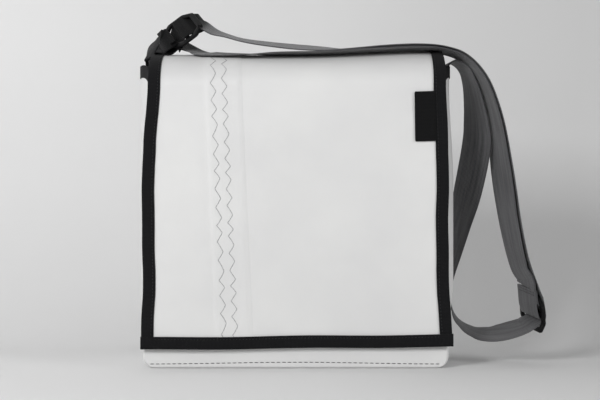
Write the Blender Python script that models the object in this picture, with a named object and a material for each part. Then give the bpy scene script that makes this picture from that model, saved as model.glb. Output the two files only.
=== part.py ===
"""Sailcloth messenger bag: a boxy body of sewn panels, a long front flap edged with
tape, and a webbing shoulder strap with a three-bar ring and a three-bar adjuster.

Metres, +Z up, the front of the bag faces -Y. The origin is on the underside, at the
middle of the bottom panel.
"""
import math

import bmesh
import bpy
import numpy as np
from mathutils import Vector

# Fits
CLEARANCE = 0.0003

# Bag body
BODY_WIDTH = 0.320
BODY_DEPTH = 0.100
RIM_HEIGHT = 0.298
PANEL_THICKNESS = 0.0015
BOTTOM_CORNER_RADIUS = 0.012
GUSSET_BULGE = 0.010
GUSSET_BULGE_START = 0.090
GUSSET_RIM_RISE = 0.020
GUSSET_SLANT_SHARE = 0.096
BOTTOM_SEAM_GAP = 0.0004

# Edge tape, folded over every raw edge
TAPE_THICKNESS = 0.0008
TAPE_REACH = 0.0125

# Flap
FLAP_THICKNESS = 0.0010
FLAP_TOP_WIDTH = 0.313
FLAP_BOTTOM_WIDTH = 0.328
FLAP_CREST_HEIGHT = 0.334
FLAP_DOME_RISE = 0.038
FLAP_BOTTOM_HEIGHT = 0.0215
FLAP_SEWN_LENGTH = 0.030
FLAP_BACK_ROOM = 0.0008
FOLD_LINE_DEPTH = -0.046
FOLD_GAP = 0.0008
LAP_TOP = -0.0945
LAP_SLANT = 0.0140
LAP_WIDTH = 0.035
LAP_JOGGLE = 0.009

# Label tab and hook-and-loop fastening
LABEL_WIDTH = 0.0215
LABEL_HEIGHT = 0.053
LABEL_TOP = 0.291
LABEL_THICKNESS = 0.0010
FASTENER_THICKNESS = 0.0012
FASTENER_LENGTH = 0.080
FASTENER_WIDTH = 0.025
FASTENER_SPACING = 0.170
FASTENER_HEIGHT = 0.075

# Shoulder strap webbing
STRAP_WIDTH = 0.047
STRAP_THICKNESS = 0.0012
STRAP_LAYER_GAP = 0.0012
SEWN_END_BOTTOM = 0.235
SEWN_END_TOP = 0.272
ANCHOR_DEPTH = 0.012
ANCHOR_REACH = 0.1634
STRAP_SPLIT = 0.1640
STRAP_SPLIT_GAP = 0.0006

# Three-bar buckle moulding, used as the ring and as the adjuster
BUCKLE_WIDTH = 0.060
BUCKLE_LENGTH = 0.042
BUCKLE_THICKNESS = 0.0035
BUCKLE_BAR = 0.006
BUCKLE_SIDE = 0.0045
BUCKLE_CHAMFER = 0.009
BUCKLE_EDGE_ROUND = 0.0008
BAR_ROOM = 0.00055
CUTTER_OVERRUN = 0.004

# Where the two buckles sit, in shares of half the body's width, half its depth and the
# flap's crest, and the directions that each one lies along
RING_CENTRE_SHARES = (-0.7875, -0.040, 1.0823)
RING_ALONG_SHARES = Vector((0.80, 0.0, 0.60))
RING_ACROSS_SHARES = Vector((0.36, -0.885, -0.29))
ADJUSTER_CENTRE_SHARES = (1.6188, -0.020, 0.1725)
ADJUSTER_ALONG_SHARES = Vector((0.22, 0.16, -0.96))
ADJUSTER_ACROSS_SHARES = Vector((0.20, -0.97, -0.12))

# Fineness of the curved surfaces
DOME_STEPS = 16
GUSSET_ROWS = 8
GUSSET_COLUMNS = 8
STRAP_STEP = 0.009

# Sizes that follow from the ones above
HALF_DEPTH = BODY_DEPTH / 2
HALF_BODY = BODY_WIDTH / 2
TAPE_BUILD = CLEARANCE + TAPE_THICKNESS
FLAP_FRONT = -(HALF_DEPTH + 2 * FASTENER_THICKNESS + 3 * CLEARANCE + FLAP_THICKNESS / 2)
FLAP_BACK = HALF_DEPTH + FLAP_BACK_ROOM + TAPE_BUILD + CLEARANCE + FLAP_THICKNESS / 2 + TAPE_BUILD
DOME_BASE = FLAP_CREST_HEIGHT - FLAP_DOME_RISE - FLAP_THICKNESS / 2
DOME_CENTRE = (FLAP_FRONT + FLAP_BACK) / 2
DOME_HALF = (FLAP_BACK - FLAP_FRONT) / 2
FOLD_ANGLE = math.acos((FOLD_LINE_DEPTH - DOME_CENTRE) / DOME_HALF)
HINGE_STAND_OFF = 1.5 * FLAP_THICKNESS + 2 * CLEARANCE
BAR_PITCH = (BUCKLE_LENGTH - BUCKLE_BAR) / 2
BAR_TURN = BUCKLE_BAR / 3
LAYER_LEVEL = BUCKLE_THICKNESS / 2 + BAR_ROOM + STRAP_THICKNESS / 2

WHITE_CLOTH = (0.80, 0.80, 0.79)
BLACK_TAPE = (0.012, 0.012, 0.013)
GREY_WEBBING = (0.075, 0.075, 0.078)
BLACK_PLASTIC = (0.010, 0.010, 0.011)


def clear_scene():
    for item in list(bpy.data.objects):
        bpy.data.objects.remove(item, do_unlink=True)


def material(name, colour, roughness):
    made = bpy.data.materials.get(name)
    if made is None:
        made = bpy.data.materials.new(name)
        made.use_nodes = True
        shader = made.node_tree.nodes["Principled BSDF"]
        shader.inputs["Base Color"].default_value = (*colour, 1)
        shader.inputs["Roughness"].default_value = roughness
        shader.inputs["Metallic"].default_value = 0
    return made


def add_object(name, points, faces, finish, origin=(0, 0, 0)):
    """An object from points and faces, with its origin at a given place."""
    mesh = bpy.data.meshes.new(name)
    shifted = [tuple(Vector(point) - Vector(origin)) for point in points]
    mesh.from_pydata(shifted, [], faces)
    mesh.materials.append(finish)
    made = bpy.data.objects.new(name, mesh)
    made.location = origin
    bpy.context.scene.collection.objects.link(made)
    tidy_normals(mesh)
    return made


def tidy_normals(mesh):
    """Faces pointing out, and smooth shading with sharp edges kept."""
    shape = bmesh.new()
    shape.from_mesh(mesh)
    bmesh.ops.recalc_face_normals(shape, faces=shape.faces)
    shape.to_mesh(mesh)
    shape.free()
    mesh.shade_smooth()
    mesh.set_sharp_from_angle(angle=math.radians(35))


def slab(name, outer, inner, finish, origin=(0, 0, 0)):
    """A closed solid between two grids of points that share rows and columns."""
    rows, columns = len(outer), len(outer[0])
    points = [p for row in outer for p in row] + [p for row in inner for p in row]
    below = rows * columns
    faces = []
    for r in range(rows - 1):
        for c in range(columns - 1):
            a, b = r * columns + c, r * columns + c + 1
            d, e = a + columns, b + columns
            faces.append((a, b, e, d))
            faces.append((below + a, below + d, below + e, below + b))
    border = [c for c in range(columns)]
    border += [r * columns + columns - 1 for r in range(1, rows)]
    border += [(rows - 1) * columns + c for c in range(columns - 2, -1, -1)]
    border += [r * columns for r in range(rows - 2, 0, -1)]
    for a, b in zip(border, border[1:] + border[:1]):
        faces.append((b, a, below + a, below + b))
    return add_object(name, points, faces, finish, origin)


def sheet(name, places, normals, thickness, finish, origin=(0, 0, 0)):
    """A cloth sheet of even thickness, given by its middle surface and its normals."""
    outer = [[p + n * (thickness / 2) for p, n in zip(*row)] for row in zip(places, normals)]
    inner = [[p - n * (thickness / 2) for p, n in zip(*row)] for row in zip(places, normals)]
    return slab(name, outer, inner, finish, origin)


def swept(name, outline, frames, finish, origin=(0, 0, 0)):
    """A closed outline carried along frames of (place, first axis, second axis)."""
    points = [place + first * u + second * v for place, first, second in frames for u, v in outline]
    count = len(outline)
    faces = [tuple(range(count - 1, -1, -1))]
    for r in range(len(frames) - 1):
        for c in range(count):
            a, b = r * count + c, r * count + (c + 1) % count
            faces.append((a, b, b + count, a + count))
    faces.append(tuple(range((len(frames) - 1) * count, len(frames) * count)))
    return add_object(name, points, faces, finish, origin)


def tape_outline(cloth_thickness):
    """The folded tape in section: first number outward past the edge, second across."""
    inside = cloth_thickness / 2 + CLEARANCE
    outside = inside + TAPE_THICKNESS
    fold_in, fold_out = CLEARANCE, CLEARANCE + TAPE_THICKNESS
    return [(-TAPE_REACH, inside), (fold_in, inside), (fold_in, -inside), (-TAPE_REACH, -inside),
            (-TAPE_REACH, -outside), (fold_out, -outside), (fold_out, outside), (-TAPE_REACH, outside)]


# Bag body

def gusset_bulge(height):
    share = min(1, max(0, height / GUSSET_BULGE_START))
    return GUSSET_BULGE * share * share * (3 - 2 * share)


def rim_height(depth):
    """The gusset's top edge stands highest at mid depth, where the strap pulls it up."""
    return RIM_HEIGHT + GUSSET_RIM_RISE * (1 - (depth / HALF_DEPTH) ** 2)


def gusset_point(side, depth, height, inset):
    """A point on a gusset, inset from its outer face."""
    reach = HALF_BODY - inset + gusset_bulge(height) * (1 - (depth / HALF_DEPTH) ** 2)
    return Vector((side * reach, depth, height))


def gusset_section(side, depth, inset):
    """One run down a gusset, from the rim round the bottom corner to the bottom seam."""
    corner = BOTTOM_CORNER_RADIUS - inset
    top = rim_height(depth) - CLEARANCE - TAPE_THICKNESS
    run = [gusset_point(side, depth, BOTTOM_CORNER_RADIUS + (top - BOTTOM_CORNER_RADIUS) * k / GUSSET_ROWS,
                        inset) for k in range(GUSSET_ROWS, 0, -1)]
    centre = HALF_BODY - BOTTOM_CORNER_RADIUS
    for k in range(5):
        angle = math.pi / 8 * k
        run.append(Vector((side * (centre + corner * math.cos(angle)), depth,
                           BOTTOM_CORNER_RADIUS - corner * math.sin(angle))))
    return run


def build_gusset(name, side, finish):
    reach = HALF_DEPTH - PANEL_THICKNESS - CLEARANCE
    depths = [reach * (2 * k / GUSSET_COLUMNS - 1) for k in range(GUSSET_COLUMNS + 1)]
    outer = [gusset_section(side, depth, 0) for depth in depths]
    inner = [gusset_section(side, depth, PANEL_THICKNESS) for depth in depths]
    return slab(name, outer, inner, finish)


def build_face_panel(name, side, finish):
    """Front or back panel: a flat sheet with two rounded bottom corners."""
    top = RIM_HEIGHT - CLEARANCE - TAPE_THICKNESS
    corner = HALF_BODY - BOTTOM_CORNER_RADIUS
    outline = [(HALF_BODY, top), (-HALF_BODY, top)]
    for sign, start in ((-1, math.pi), (1, 1.5 * math.pi)):
        for k in range(5):
            angle = start + math.pi / 8 * k
            outline.append((sign * corner + BOTTOM_CORNER_RADIUS * math.cos(angle),
                            BOTTOM_CORNER_RADIUS * (1 + math.sin(angle))))
    outside = side * HALF_DEPTH
    inside = side * (HALF_DEPTH - PANEL_THICKNESS)
    frames = [(Vector((0, place, 0)), Vector((1, 0, 0)), Vector((0, 0, 1))) for place in (outside, inside)]
    return swept(name, outline, frames, finish)


def build_bottom_panel(finish):
    reach = HALF_BODY - BOTTOM_CORNER_RADIUS - BOTTOM_SEAM_GAP
    depth = HALF_DEPTH - PANEL_THICKNESS - CLEARANCE
    outline = [(-reach, -depth), (reach, -depth), (reach, depth), (-reach, depth)]
    frames = [(Vector((0, 0, level)), Vector((1, 0, 0)), Vector((0, 1, 0))) for level in (0, PANEL_THICKNESS)]
    return swept("bottom_panel", outline, frames, finish)


def build_rim_tapes(finish):
    """Tape over the mouth: straight on the two face panels, arched on the gussets."""
    edge = RIM_HEIGHT - CLEARANCE - TAPE_THICKNESS
    middle = HALF_DEPTH - PANEL_THICKNESS / 2
    reach = HALF_BODY - PANEL_THICKNESS - 2 * CLEARANCE - TAPE_BUILD
    for name, side in (("front_rim_tape", -1), ("back_rim_tape", 1)):
        frames = [(Vector((across, side * middle, edge)), Vector((0, 0, 1)), Vector((0, side, 0)))
                  for across in (-reach, reach)]
        swept(name, tape_outline(PANEL_THICKNESS), frames, finish)
    end = HALF_DEPTH - PANEL_THICKNESS - 2 * CLEARANCE
    for name, side in (("left_rim_tape", -1), ("right_rim_tape", 1)):
        frames = []
        for k in range(GUSSET_COLUMNS + 1):
            depth = end * (2 * k / GUSSET_COLUMNS - 1)
            edge = rim_height(depth) - CLEARANCE - TAPE_THICKNESS
            place = gusset_point(side, depth, edge, PANEL_THICKNESS / 2)
            slope = 2 * GUSSET_BULGE * depth / HALF_DEPTH ** 2
            frames.append((place, Vector((0, 0, 1)), Vector((side, slope, 0)).normalized()))
        swept(name, tape_outline(PANEL_THICKNESS), frames, finish)


# Flap

def flap_half_width(height):
    """Half the flap's width at a height: even over the dome, wider toward the bottom."""
    share = (DOME_BASE - height) / (DOME_BASE - FLAP_BOTTOM_HEIGHT)
    return (FLAP_TOP_WIDTH + (FLAP_BOTTOM_WIDTH - FLAP_TOP_WIDTH) * max(0, share)) / 2


def dome_station(angle):
    """Place and outward normal on the flap's middle surface, from 0 behind to pi in front."""
    place = Vector((0, DOME_CENTRE + DOME_HALF * math.cos(angle), DOME_BASE + FLAP_DOME_RISE * math.sin(angle)))
    outward = Vector((0, FLAP_DOME_RISE * math.cos(angle), DOME_HALF * math.sin(angle)))
    return place, outward.normalized()


def top_stations():
    """Stations of the flap's top part, from the rear hinge line to the front fold line."""
    start = FOLD_GAP / FLAP_DOME_RISE
    end = FOLD_ANGLE - FOLD_GAP / 2 / DOME_HALF
    return [dome_station(start + (end - start) * k / DOME_STEPS) for k in range(DOME_STEPS + 1)]


def front_stations(bottom):
    """Stations of the flap's front part, from the fold line down to a given height."""
    start = FOLD_ANGLE + FOLD_GAP / 2 / DOME_HALF
    steps = DOME_STEPS // 3
    run = [dome_station(start + (math.pi - start) * k / steps) for k in range(steps + 1)]
    drop = DOME_BASE - bottom
    for share in (0.1, 0.25, 0.5, 0.75, 1):
        run.append((Vector((0, FLAP_FRONT, DOME_BASE - drop * share)), Vector((0, -1, 0))))
    return run


def lap_edge(height):
    """Where the lapped seam of the two sailcloth panels starts, counted across the flap."""
    share = (FLAP_CREST_HEIGHT - height) / (FLAP_CREST_HEIGHT - FLAP_BOTTOM_HEIGHT)
    return LAP_TOP + LAP_SLANT * share


def left_panel_columns(height, edge):
    """Across positions and outward lift of the left panel, which steps up onto the lap."""
    lap = lap_edge(height)
    lift = FLAP_THICKNESS + CLEARANCE
    return [(-edge, 0), ((lap - LAP_JOGGLE - edge) / 2, 0), (lap - LAP_JOGGLE, 0), (lap - CLEARANCE, lift),
            (lap + LAP_WIDTH, lift)]


def right_panel_columns(height, edge):
    """Across positions of the right panel, which starts beneath the left panel's lap."""
    lap = lap_edge(height)
    return [(lap + CLEARANCE, 0), (lap + LAP_WIDTH, 0), ((lap + LAP_WIDTH + edge) / 2, 0), (edge, 0)]


def flap_sheet(name, stations, columns, finish, origin):
    """One sailcloth panel of the flap over the given stations."""
    places, normals = [], []
    for place, outward in stations:
        edge = flap_half_width(place.z) - TAPE_BUILD
        row = columns(place.z, edge)
        places.append([place + Vector((across, 0, 0)) + outward * lift for across, lift in row])
        normals.append([outward] * len(row))
    return sheet(name, places, normals, FLAP_THICKNESS, finish, origin)


def side_tape(name, side, stations, finish, origin):
    """Folded tape along one side edge of the flap."""
    frames = []
    for place, outward in stations:
        edge = flap_half_width(place.z) - TAPE_BUILD
        frames.append((place + Vector((side * edge, 0, 0)), Vector((side, 0, 0)), outward))
    return swept(name, tape_outline(FLAP_THICKNESS), frames, finish, origin)


def hinge_place():
    """Just outside the lapped cloth at the flap's rear hinge line."""
    return Vector((0, FLAP_BACK + HINGE_STAND_OFF, DOME_BASE))


def fold_place():
    """Just outside the lapped cloth at the flap's front fold line."""
    place, outward = dome_station(FOLD_ANGLE)
    return place + outward * HINGE_STAND_OFF


def build_flap(cloth, tape):
    bottom = FLAP_BOTTOM_HEIGHT + TAPE_BUILD
    sewn = [(Vector((0, FLAP_BACK, DOME_BASE - FLAP_SEWN_LENGTH)), Vector((0, 1, 0))),
            (Vector((0, FLAP_BACK, DOME_BASE)), Vector((0, 1, 0)))]
    for part, stations, origin in (("sewn_edge", sewn, Vector((0, 0, 0))),
                                   ("top", top_stations(), hinge_place()),
                                   ("front", front_stations(bottom), fold_place())):
        flap_sheet("flap_left_panel_" + part, stations, left_panel_columns, cloth, origin)
        flap_sheet("flap_right_panel_" + part, stations, right_panel_columns, cloth, origin)
        edge_run = front_stations(FLAP_BOTTOM_HEIGHT) if part == "front" else stations
        side_tape("flap_left_tape_" + part, -1, edge_run, tape, origin)
        side_tape("flap_right_tape_" + part, 1, edge_run, tape, origin)
    reach = flap_half_width(bottom + TAPE_REACH) - TAPE_BUILD - TAPE_REACH - CLEARANCE
    middle = FLAP_THICKNESS / 2 + CLEARANCE / 2
    frames = [(Vector((across, FLAP_FRONT - middle, bottom)), Vector((0, 0, -1)), Vector((0, 1, 0)))
              for across in (-reach, reach)]
    outline = tape_outline(2 * (FLAP_THICKNESS + CLEARANCE / 2))
    swept("flap_bottom_tape", outline, frames, tape, fold_place())


def build_label(tape):
    """Bare label tab: its inner side butts against the edge tape of the flap."""
    outside = FLAP_FRONT - FLAP_THICKNESS / 2 - CLEARANCE
    bottom = LABEL_TOP - LABEL_HEIGHT
    right = flap_half_width(LABEL_TOP) - TAPE_BUILD - TAPE_REACH - CLEARANCE
    outline = [(right - LABEL_WIDTH, bottom), (right, bottom), (right, LABEL_TOP), (right - LABEL_WIDTH, LABEL_TOP)]
    frames = [(Vector((0, place, 0)), Vector((1, 0, 0)), Vector((0, 0, 1)))
              for place in (outside, outside - LABEL_THICKNESS)]
    swept("label_tab", outline, frames, tape, fold_place())


def build_fasteners(finish):
    """Loop strips on the body and hook strips on the flap, face to face when closed."""
    for word, side in (("left", -1), ("right", 1)):
        centre = side * FASTENER_SPACING / 2
        half, low, high = FASTENER_LENGTH / 2, -FASTENER_WIDTH / 2, FASTENER_WIDTH / 2
        outline = [(-half, low), (half, low), (half, high), (-half, high)]
        body_face = -HALF_DEPTH - CLEARANCE
        meeting = body_face - FASTENER_THICKNESS
        flap_face = meeting - CLEARANCE - FASTENER_THICKNESS
        for kind, near, far, origin in (("loop", body_face, meeting, Vector((0, 0, 0))),
                                        ("hook", meeting - CLEARANCE, flap_face, fold_place())):
            frames = [(Vector((centre, place, FASTENER_HEIGHT)), Vector((1, 0, 0)), Vector((0, 0, 1)))
                      for place in (near, far)]
            swept(f"{kind}_strip_{word}", outline, frames, finish, origin)


# Buckles

def buckle_axes(along_shares, across_shares):
    """Unit directions along the strap, across it, and out of the frame toward the front."""
    along = along_shares.normalized()
    across = (across_shares - along * across_shares.dot(along)).normalized()
    square = along.cross(across)
    return along, across, square if square.y < 0 else -square


def build_buckle(name, centre, axes, finish, origin):
    """Chamfered frame with a middle bar: an outline with two slots cut through it."""
    along, across, square = axes
    half_width, half_length = BUCKLE_WIDTH / 2, BUCKLE_LENGTH / 2
    cut = BUCKLE_CHAMFER
    outline = [(half_length, half_width - cut), (half_length - cut, half_width),
               (cut - half_length, half_width), (-half_length, half_width - cut),
               (-half_length, cut - half_width), (cut - half_length, -half_width),
               (half_length - cut, -half_width), (half_length, cut - half_width)]
    place = centre - origin
    frames = [(place + square * level, along, across)
              for level in (-BUCKLE_THICKNESS / 2, BUCKLE_THICKNESS / 2)]
    body = swept(name, outline, frames, finish)
    body.location = origin
    rounding = body.modifiers.new("rounded_edges", "BEVEL")
    rounding.width = BUCKLE_EDGE_ROUND
    rounding.segments = 1
    slot = BAR_PITCH - BUCKLE_BAR
    depth = BUCKLE_THICKNESS / 2 + CUTTER_OVERRUN
    for side in (-1, 1):
        middle = side * BAR_PITCH / 2
        reach = half_width - BUCKLE_SIDE
        corners = [(middle - slot / 2, -reach), (middle + slot / 2, -reach),
                   (middle + slot / 2, reach), (middle - slot / 2, reach)]
        runs = [(place + square * level, along, across) for level in (-depth, depth)]
        cutter = swept(f"{name}_slot_cutter_{side + 1}", corners, runs, finish)
        cutter.location = origin
        cutter.hide_render = True
        cutter.display_type = "WIRE"
        opening = body.modifiers.new("slot", "BOOLEAN")
        opening.operation = "DIFFERENCE"
        opening.solver = "EXACT"
        opening.object = cutter
    return body


# Webbing

def smooth_run(knots, step):
    """Stations at even steps along a smooth curve through knots of (place, across)."""
    places = np.array([[*place, *across] for place, across in knots])
    padded = np.vstack([2 * places[0] - places[1], places, 2 * places[-1] - places[-2]])
    run = []
    for k in range(1, len(padded) - 2):
        before, start, end, after = padded[k - 1:k + 3]
        count = max(1, round(np.linalg.norm(end[:3] - start[:3]) / step))
        for t in np.arange(count) / count:
            bend = 2 * before - 5 * start + 4 * end - after
            twist = 3 * start - before - 3 * end + after
            run.append(start + ((end - before) * t + bend * t ** 2 + twist * t ** 3) / 2)
    run.append(places[-1])
    return [(Vector(row[:3]), Vector(row[3:])) for row in run]


def with_faces(stations):
    """Stations with the across direction squared up, and the direction that the face looks."""
    squared = []
    for k, (place, across) in enumerate(stations):
        along = (stations[min(len(stations) - 1, k + 1)][0] - stations[max(0, k - 1)][0]).normalized()
        across = (across - along * across.dot(along)).normalized()
        squared.append((place, across, across.cross(along)))
    return squared


def shifted(knots, offset):
    """The same knots moved off to the side that the webbing's face looks to."""
    return [(place + face * offset, across) for place, across, face in with_faces(knots)]


def shared_place(across_share, depth_share, height_share):
    """A place given in shares of half the width, half the depth and the crest's height."""
    return Vector((HALF_BODY * across_share, HALF_DEPTH * depth_share, FLAP_CREST_HEIGHT * height_share))


def hand_route(route_shares):
    """Knots of (place, across) from one of the routes chosen by hand."""
    places = [shared_place(*row[:3]) for row in route_shares]
    knots = []
    for k, (place, row) in enumerate(zip(places, route_shares)):
        along = places[min(len(places) - 1, k + 1)] - places[max(0, k - 1)]
        outward = Vector((-along.z, 0, along.x)).normalized()
        flare = row[3]
        across = outward * flare + Vector((0, -math.sqrt(1 - flare * flare), 0))
        knots.append((place, across))
    return knots


def webbing(name, stations, finish, origin=(0, 0, 0)):
    """A flat strap of webbing along stations of (place, across, face)."""
    outer, inner = [], []
    for place, across, face in stations:
        edges = [place - across * (STRAP_WIDTH / 2), place + across * (STRAP_WIDTH / 2)]
        outer.append([edge + face * (STRAP_THICKNESS / 2) for edge in edges])
        inner.append([edge - face * (STRAP_THICKNESS / 2) for edge in edges])
    return slab(name, outer, inner, finish, origin)


def buckle_knots(centre, axes, spots):
    """Knots placed by their distance along a buckle and out from its middle plane."""
    along, across, square = axes
    return [(centre + along * forward + square * out, across) for forward, out in spots]


def round_bar(bar, side, start):
    """Spots half way round a bar, on one side of it, from its top or bottom face."""
    spots = []
    for k in range(5):
        angle = math.pi / 4 * k
        forward = bar + side * (BAR_TURN + LAYER_LEVEL * math.sin(angle))
        spots.append((forward, start * LAYER_LEVEL * math.cos(angle)))
    return spots


# Routes of the strap, chosen by hand: across in shares of half the body's width, depth in
# shares of half its depth, height in shares of the flap's crest, and the flare, which tips
# the front edge away from the bag
ARCH_ROUTE_SHARES = [
    (1.0188, 0.240, 0.9551, -0.08), (1.0344, 0.240, 0.9766, -0.04), (1.0812, 0.260, 0.9835, 0.00),
    (1.1500, 0.280, 0.9596, 0.10), (1.1906, 0.320, 0.9132, 0.20), (1.2169, 0.360, 0.8533, 0.32),
    (1.2363, 0.400, 0.7844, 0.46), (1.2387, 0.440, 0.7066, 0.57), (1.1912, 0.620, 0.5689, 0.56),
    (1.1362, 0.800, 0.4551, 0.45), (1.0906, 0.920, 0.3593, 0.35), (1.0594, 0.960, 0.2754, 0.20),
    (1.0637, 0.900, 0.2036, 0.04), (1.1094, 0.780, 0.1392, -0.12), (1.1844, 0.620, 0.1033, -0.20),
    (1.2656, 0.460, 0.0883, -0.24), (1.3438, 0.300, 0.0877, -0.26), (1.4375, 0.120, 0.1003, -0.24)]

DROP_ROUTE_SHARES = [
    (0.5625, -0.340, 1.0180, -0.17), (0.7500, -0.340, 1.0240, -0.15), (0.9062, -0.340, 1.0254, -0.12),
    (1.0250, -0.340, 1.0210, -0.07), (1.1062, -0.320, 1.0066, 0.00), (1.1875, -0.260, 0.9701, 0.07),
    (1.2550, -0.200, 0.9177, 0.12), (1.3112, -0.140, 0.8518, 0.14), (1.3562, -0.080, 0.7680, 0.20),
    (1.3912, -0.020, 0.6497, 0.30), (1.4175, 0.000, 0.5629, 0.32), (1.4500, 0.000, 0.4641, 0.29),
    (1.4875, -0.020, 0.3743, 0.26), (1.5250, -0.060, 0.3114, 0.23)]

UPPER_ROUTE_SHARES = [
    (-0.5656, 0.060, 1.0853, -0.20), (-0.4688, -0.020, 1.0674, -0.14), (-0.3312, -0.140, 1.0509, -0.09),
    (-0.1562, -0.240, 1.0389, -0.07), (0.0187, -0.280, 1.0314, -0.07), (0.1875, -0.320, 1.0254, -0.09),
    (0.3750, -0.340, 1.0225, -0.13)]

LOWER_ROUTE_SHARES = [
    (-0.7000, 0.040, 1.0299, -0.22), (-0.5750, -0.120, 1.0165, -0.20), (-0.3750, -0.280, 1.0102, -0.19),
    (-0.1250, -0.340, 1.0066, -0.18), (0.1250, -0.340, 1.0060, -0.18), (0.3750, -0.340, 1.0096, -0.18)]

TAB_ROUTE_SHARES = [
    (-1.0075, 0.240, 0.9536, 0.05), (-1.0250, 0.210, 0.9850, -0.08), (-1.0156, 0.140, 1.0180, -0.20),
    (-0.9719, 0.000, 1.0404, -0.30)]


def sewn_end(side):
    """Knots of a webbing end sewn flat inside a gusset, from its lower end upward."""
    across = Vector((side * GUSSET_SLANT_SHARE, -1, 0)).normalized()
    heights = (SEWN_END_BOTTOM, SEWN_END_TOP, RIM_HEIGHT)
    return [(Vector((side * ANCHOR_REACH, ANCHOR_DEPTH, height)), across) for height in heights]


RING_CENTRE = shared_place(*RING_CENTRE_SHARES)
ADJUSTER_CENTRE = shared_place(*ADJUSTER_CENTRE_SHARES)


def build_strap(ring, adjuster, finish):
    """Webbing: tab, single run with the outer drop, run over the top, inner drop, and end fold."""
    hinge = hinge_place()
    pitch = STRAP_THICKNESS + STRAP_LAYER_GAP
    end = BUCKLE_LENGTH / 2 + BUCKLE_BAR
    level = LAYER_LEVEL
    second = level + STRAP_THICKNESS + CLEARANCE

    # Left tab: up from inside the gusset, round the lower bar of the ring, and back down
    climb = hand_route(TAB_ROUTE_SHARES)
    around = [(-end, -level)] + round_bar(-BAR_PITCH, 1, -1) + [(-end, level + BAR_ROOM)]
    outer_climb = shifted(climb, STRAP_THICKNESS + 2 * CLEARANCE)[::-1]
    tab = climb + buckle_knots(RING_CENTRE, ring, around) + outer_climb
    webbing("left_tab", with_faces(smooth_run(tab, STRAP_STEP)), finish, hinge)
    webbing("left_tab_sewn_end", with_faces(sewn_end(-1)), finish)

    # The strap proper is one long piece: sewn in the right gusset, round the loop to the
    # adjuster, up and over the top, round the ring, and back down to the adjuster
    entry = [(BAR_PITCH - BUCKLE_BAR / 2, 3 * second), (BAR_PITCH / 2 + BAR_TURN, second),
             (BAR_PITCH / 2, -level / 2), (BAR_PITCH / 4, -second), (-BUCKLE_BAR / 2, -second - BAR_ROOM),
             (-BAR_PITCH, -second), (-end, -second)]
    outward = shifted(hand_route(DROP_ROUTE_SHARES), pitch / 2)[::-1]
    upper = hand_route(UPPER_ROUTE_SHARES)[::-1]
    slot_b = [(end - BAR_TURN, -2 * level), (BAR_PITCH + BAR_TURN, -level - BAR_ROOM),
              (BAR_PITCH - BUCKLE_BAR / 2, -level), (BAR_PITCH / 2 + BAR_TURN, -level / 2),
              (BAR_PITCH / 2 - BAR_TURN, level / 2), (BUCKLE_BAR / 2, level)]
    slot_a = round_bar(0, -1, 1)[:3] + [(-BUCKLE_BAR, -2 * level), (-BUCKLE_BAR / 2, -4 * level)]
    lower = hand_route(LOWER_ROUTE_SHARES)
    inward = shifted(hand_route(DROP_ROUTE_SHARES), -pitch / 2)
    arch = hand_route(ARCH_ROUTE_SHARES)
    strap = (sewn_end(1) + arch + buckle_knots(ADJUSTER_CENTRE, adjuster, entry) + outward + upper
             + buckle_knots(RING_CENTRE, ring, slot_b + slot_a) + lower + inward
             + buckle_knots(ADJUSTER_CENTRE, adjuster, [(-end - BAR_PITCH / 2, second),
                                                           (-end - STRAP_LAYER_GAP, second)]))
    stations = with_faces(smooth_run(strap, STRAP_STEP))
    far = min(range(len(stations)), key=lambda k: stations[k][0].x)
    out = next(k for k in range(far, 0, -1) if stations[k][0].x > STRAP_SPLIT)
    back = next(k for k in range(far, len(stations)) if stations[k][0].x > STRAP_SPLIT)
    gap = Vector((-STRAP_SPLIT_GAP, 0, 0))
    first = (stations[out][0] + gap, *stations[out][1:])
    last = (stations[back][0] + gap, *stations[back][1:])
    webbing("strap_long_run", stations[:out + 1], finish)
    webbing("strap_over_top", [first] + stations[out + 1:back] + [last], finish, hinge)
    webbing("strap_inner_drop", stations[back:], finish)

    # Sewn end of the strap, folded round the adjuster's middle bar
    fold = ([(-end, second), (-BAR_PITCH, second), (-BUCKLE_BAR, second)] + round_bar(0, 1, 1)
            + [(-BUCKLE_BAR / 2, -level), (-BUCKLE_BAR - BAR_TURN, 0),
               (-BAR_PITCH + BUCKLE_BAR / 2, level), (-end, level)])
    knots = buckle_knots(ADJUSTER_CENTRE, adjuster, fold)
    webbing("strap_end_fold", with_faces(smooth_run(knots, STRAP_STEP)), finish, ADJUSTER_CENTRE)


def build_bag():
    clear_scene()
    cloth = material("sailcloth", WHITE_CLOTH, 0.6)
    tape = material("edge_tape", BLACK_TAPE, 0.8)
    web = material("webbing", GREY_WEBBING, 0.7)
    plastic = material("moulded_plastic", BLACK_PLASTIC, 0.4)
    build_face_panel("front_panel", -1, cloth)
    build_face_panel("back_panel", 1, cloth)
    build_gusset("left_gusset", -1, cloth)
    build_gusset("right_gusset", 1, cloth)
    build_bottom_panel(cloth)
    build_rim_tapes(tape)
    build_flap(cloth, tape)
    build_label(tape)
    build_fasteners(tape)
    ring = buckle_axes(RING_ALONG_SHARES, RING_ACROSS_SHARES)
    adjuster = buckle_axes(ADJUSTER_ALONG_SHARES, ADJUSTER_ACROSS_SHARES)
    build_strap(ring, adjuster, web)
    build_buckle("strap_ring", RING_CENTRE, ring, plastic, RING_CENTRE - ring[0] * BAR_PITCH)
    build_buckle("strap_adjuster", ADJUSTER_CENTRE, adjuster, plastic, ADJUSTER_CENTRE)


build_bag()
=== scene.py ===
import math

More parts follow.
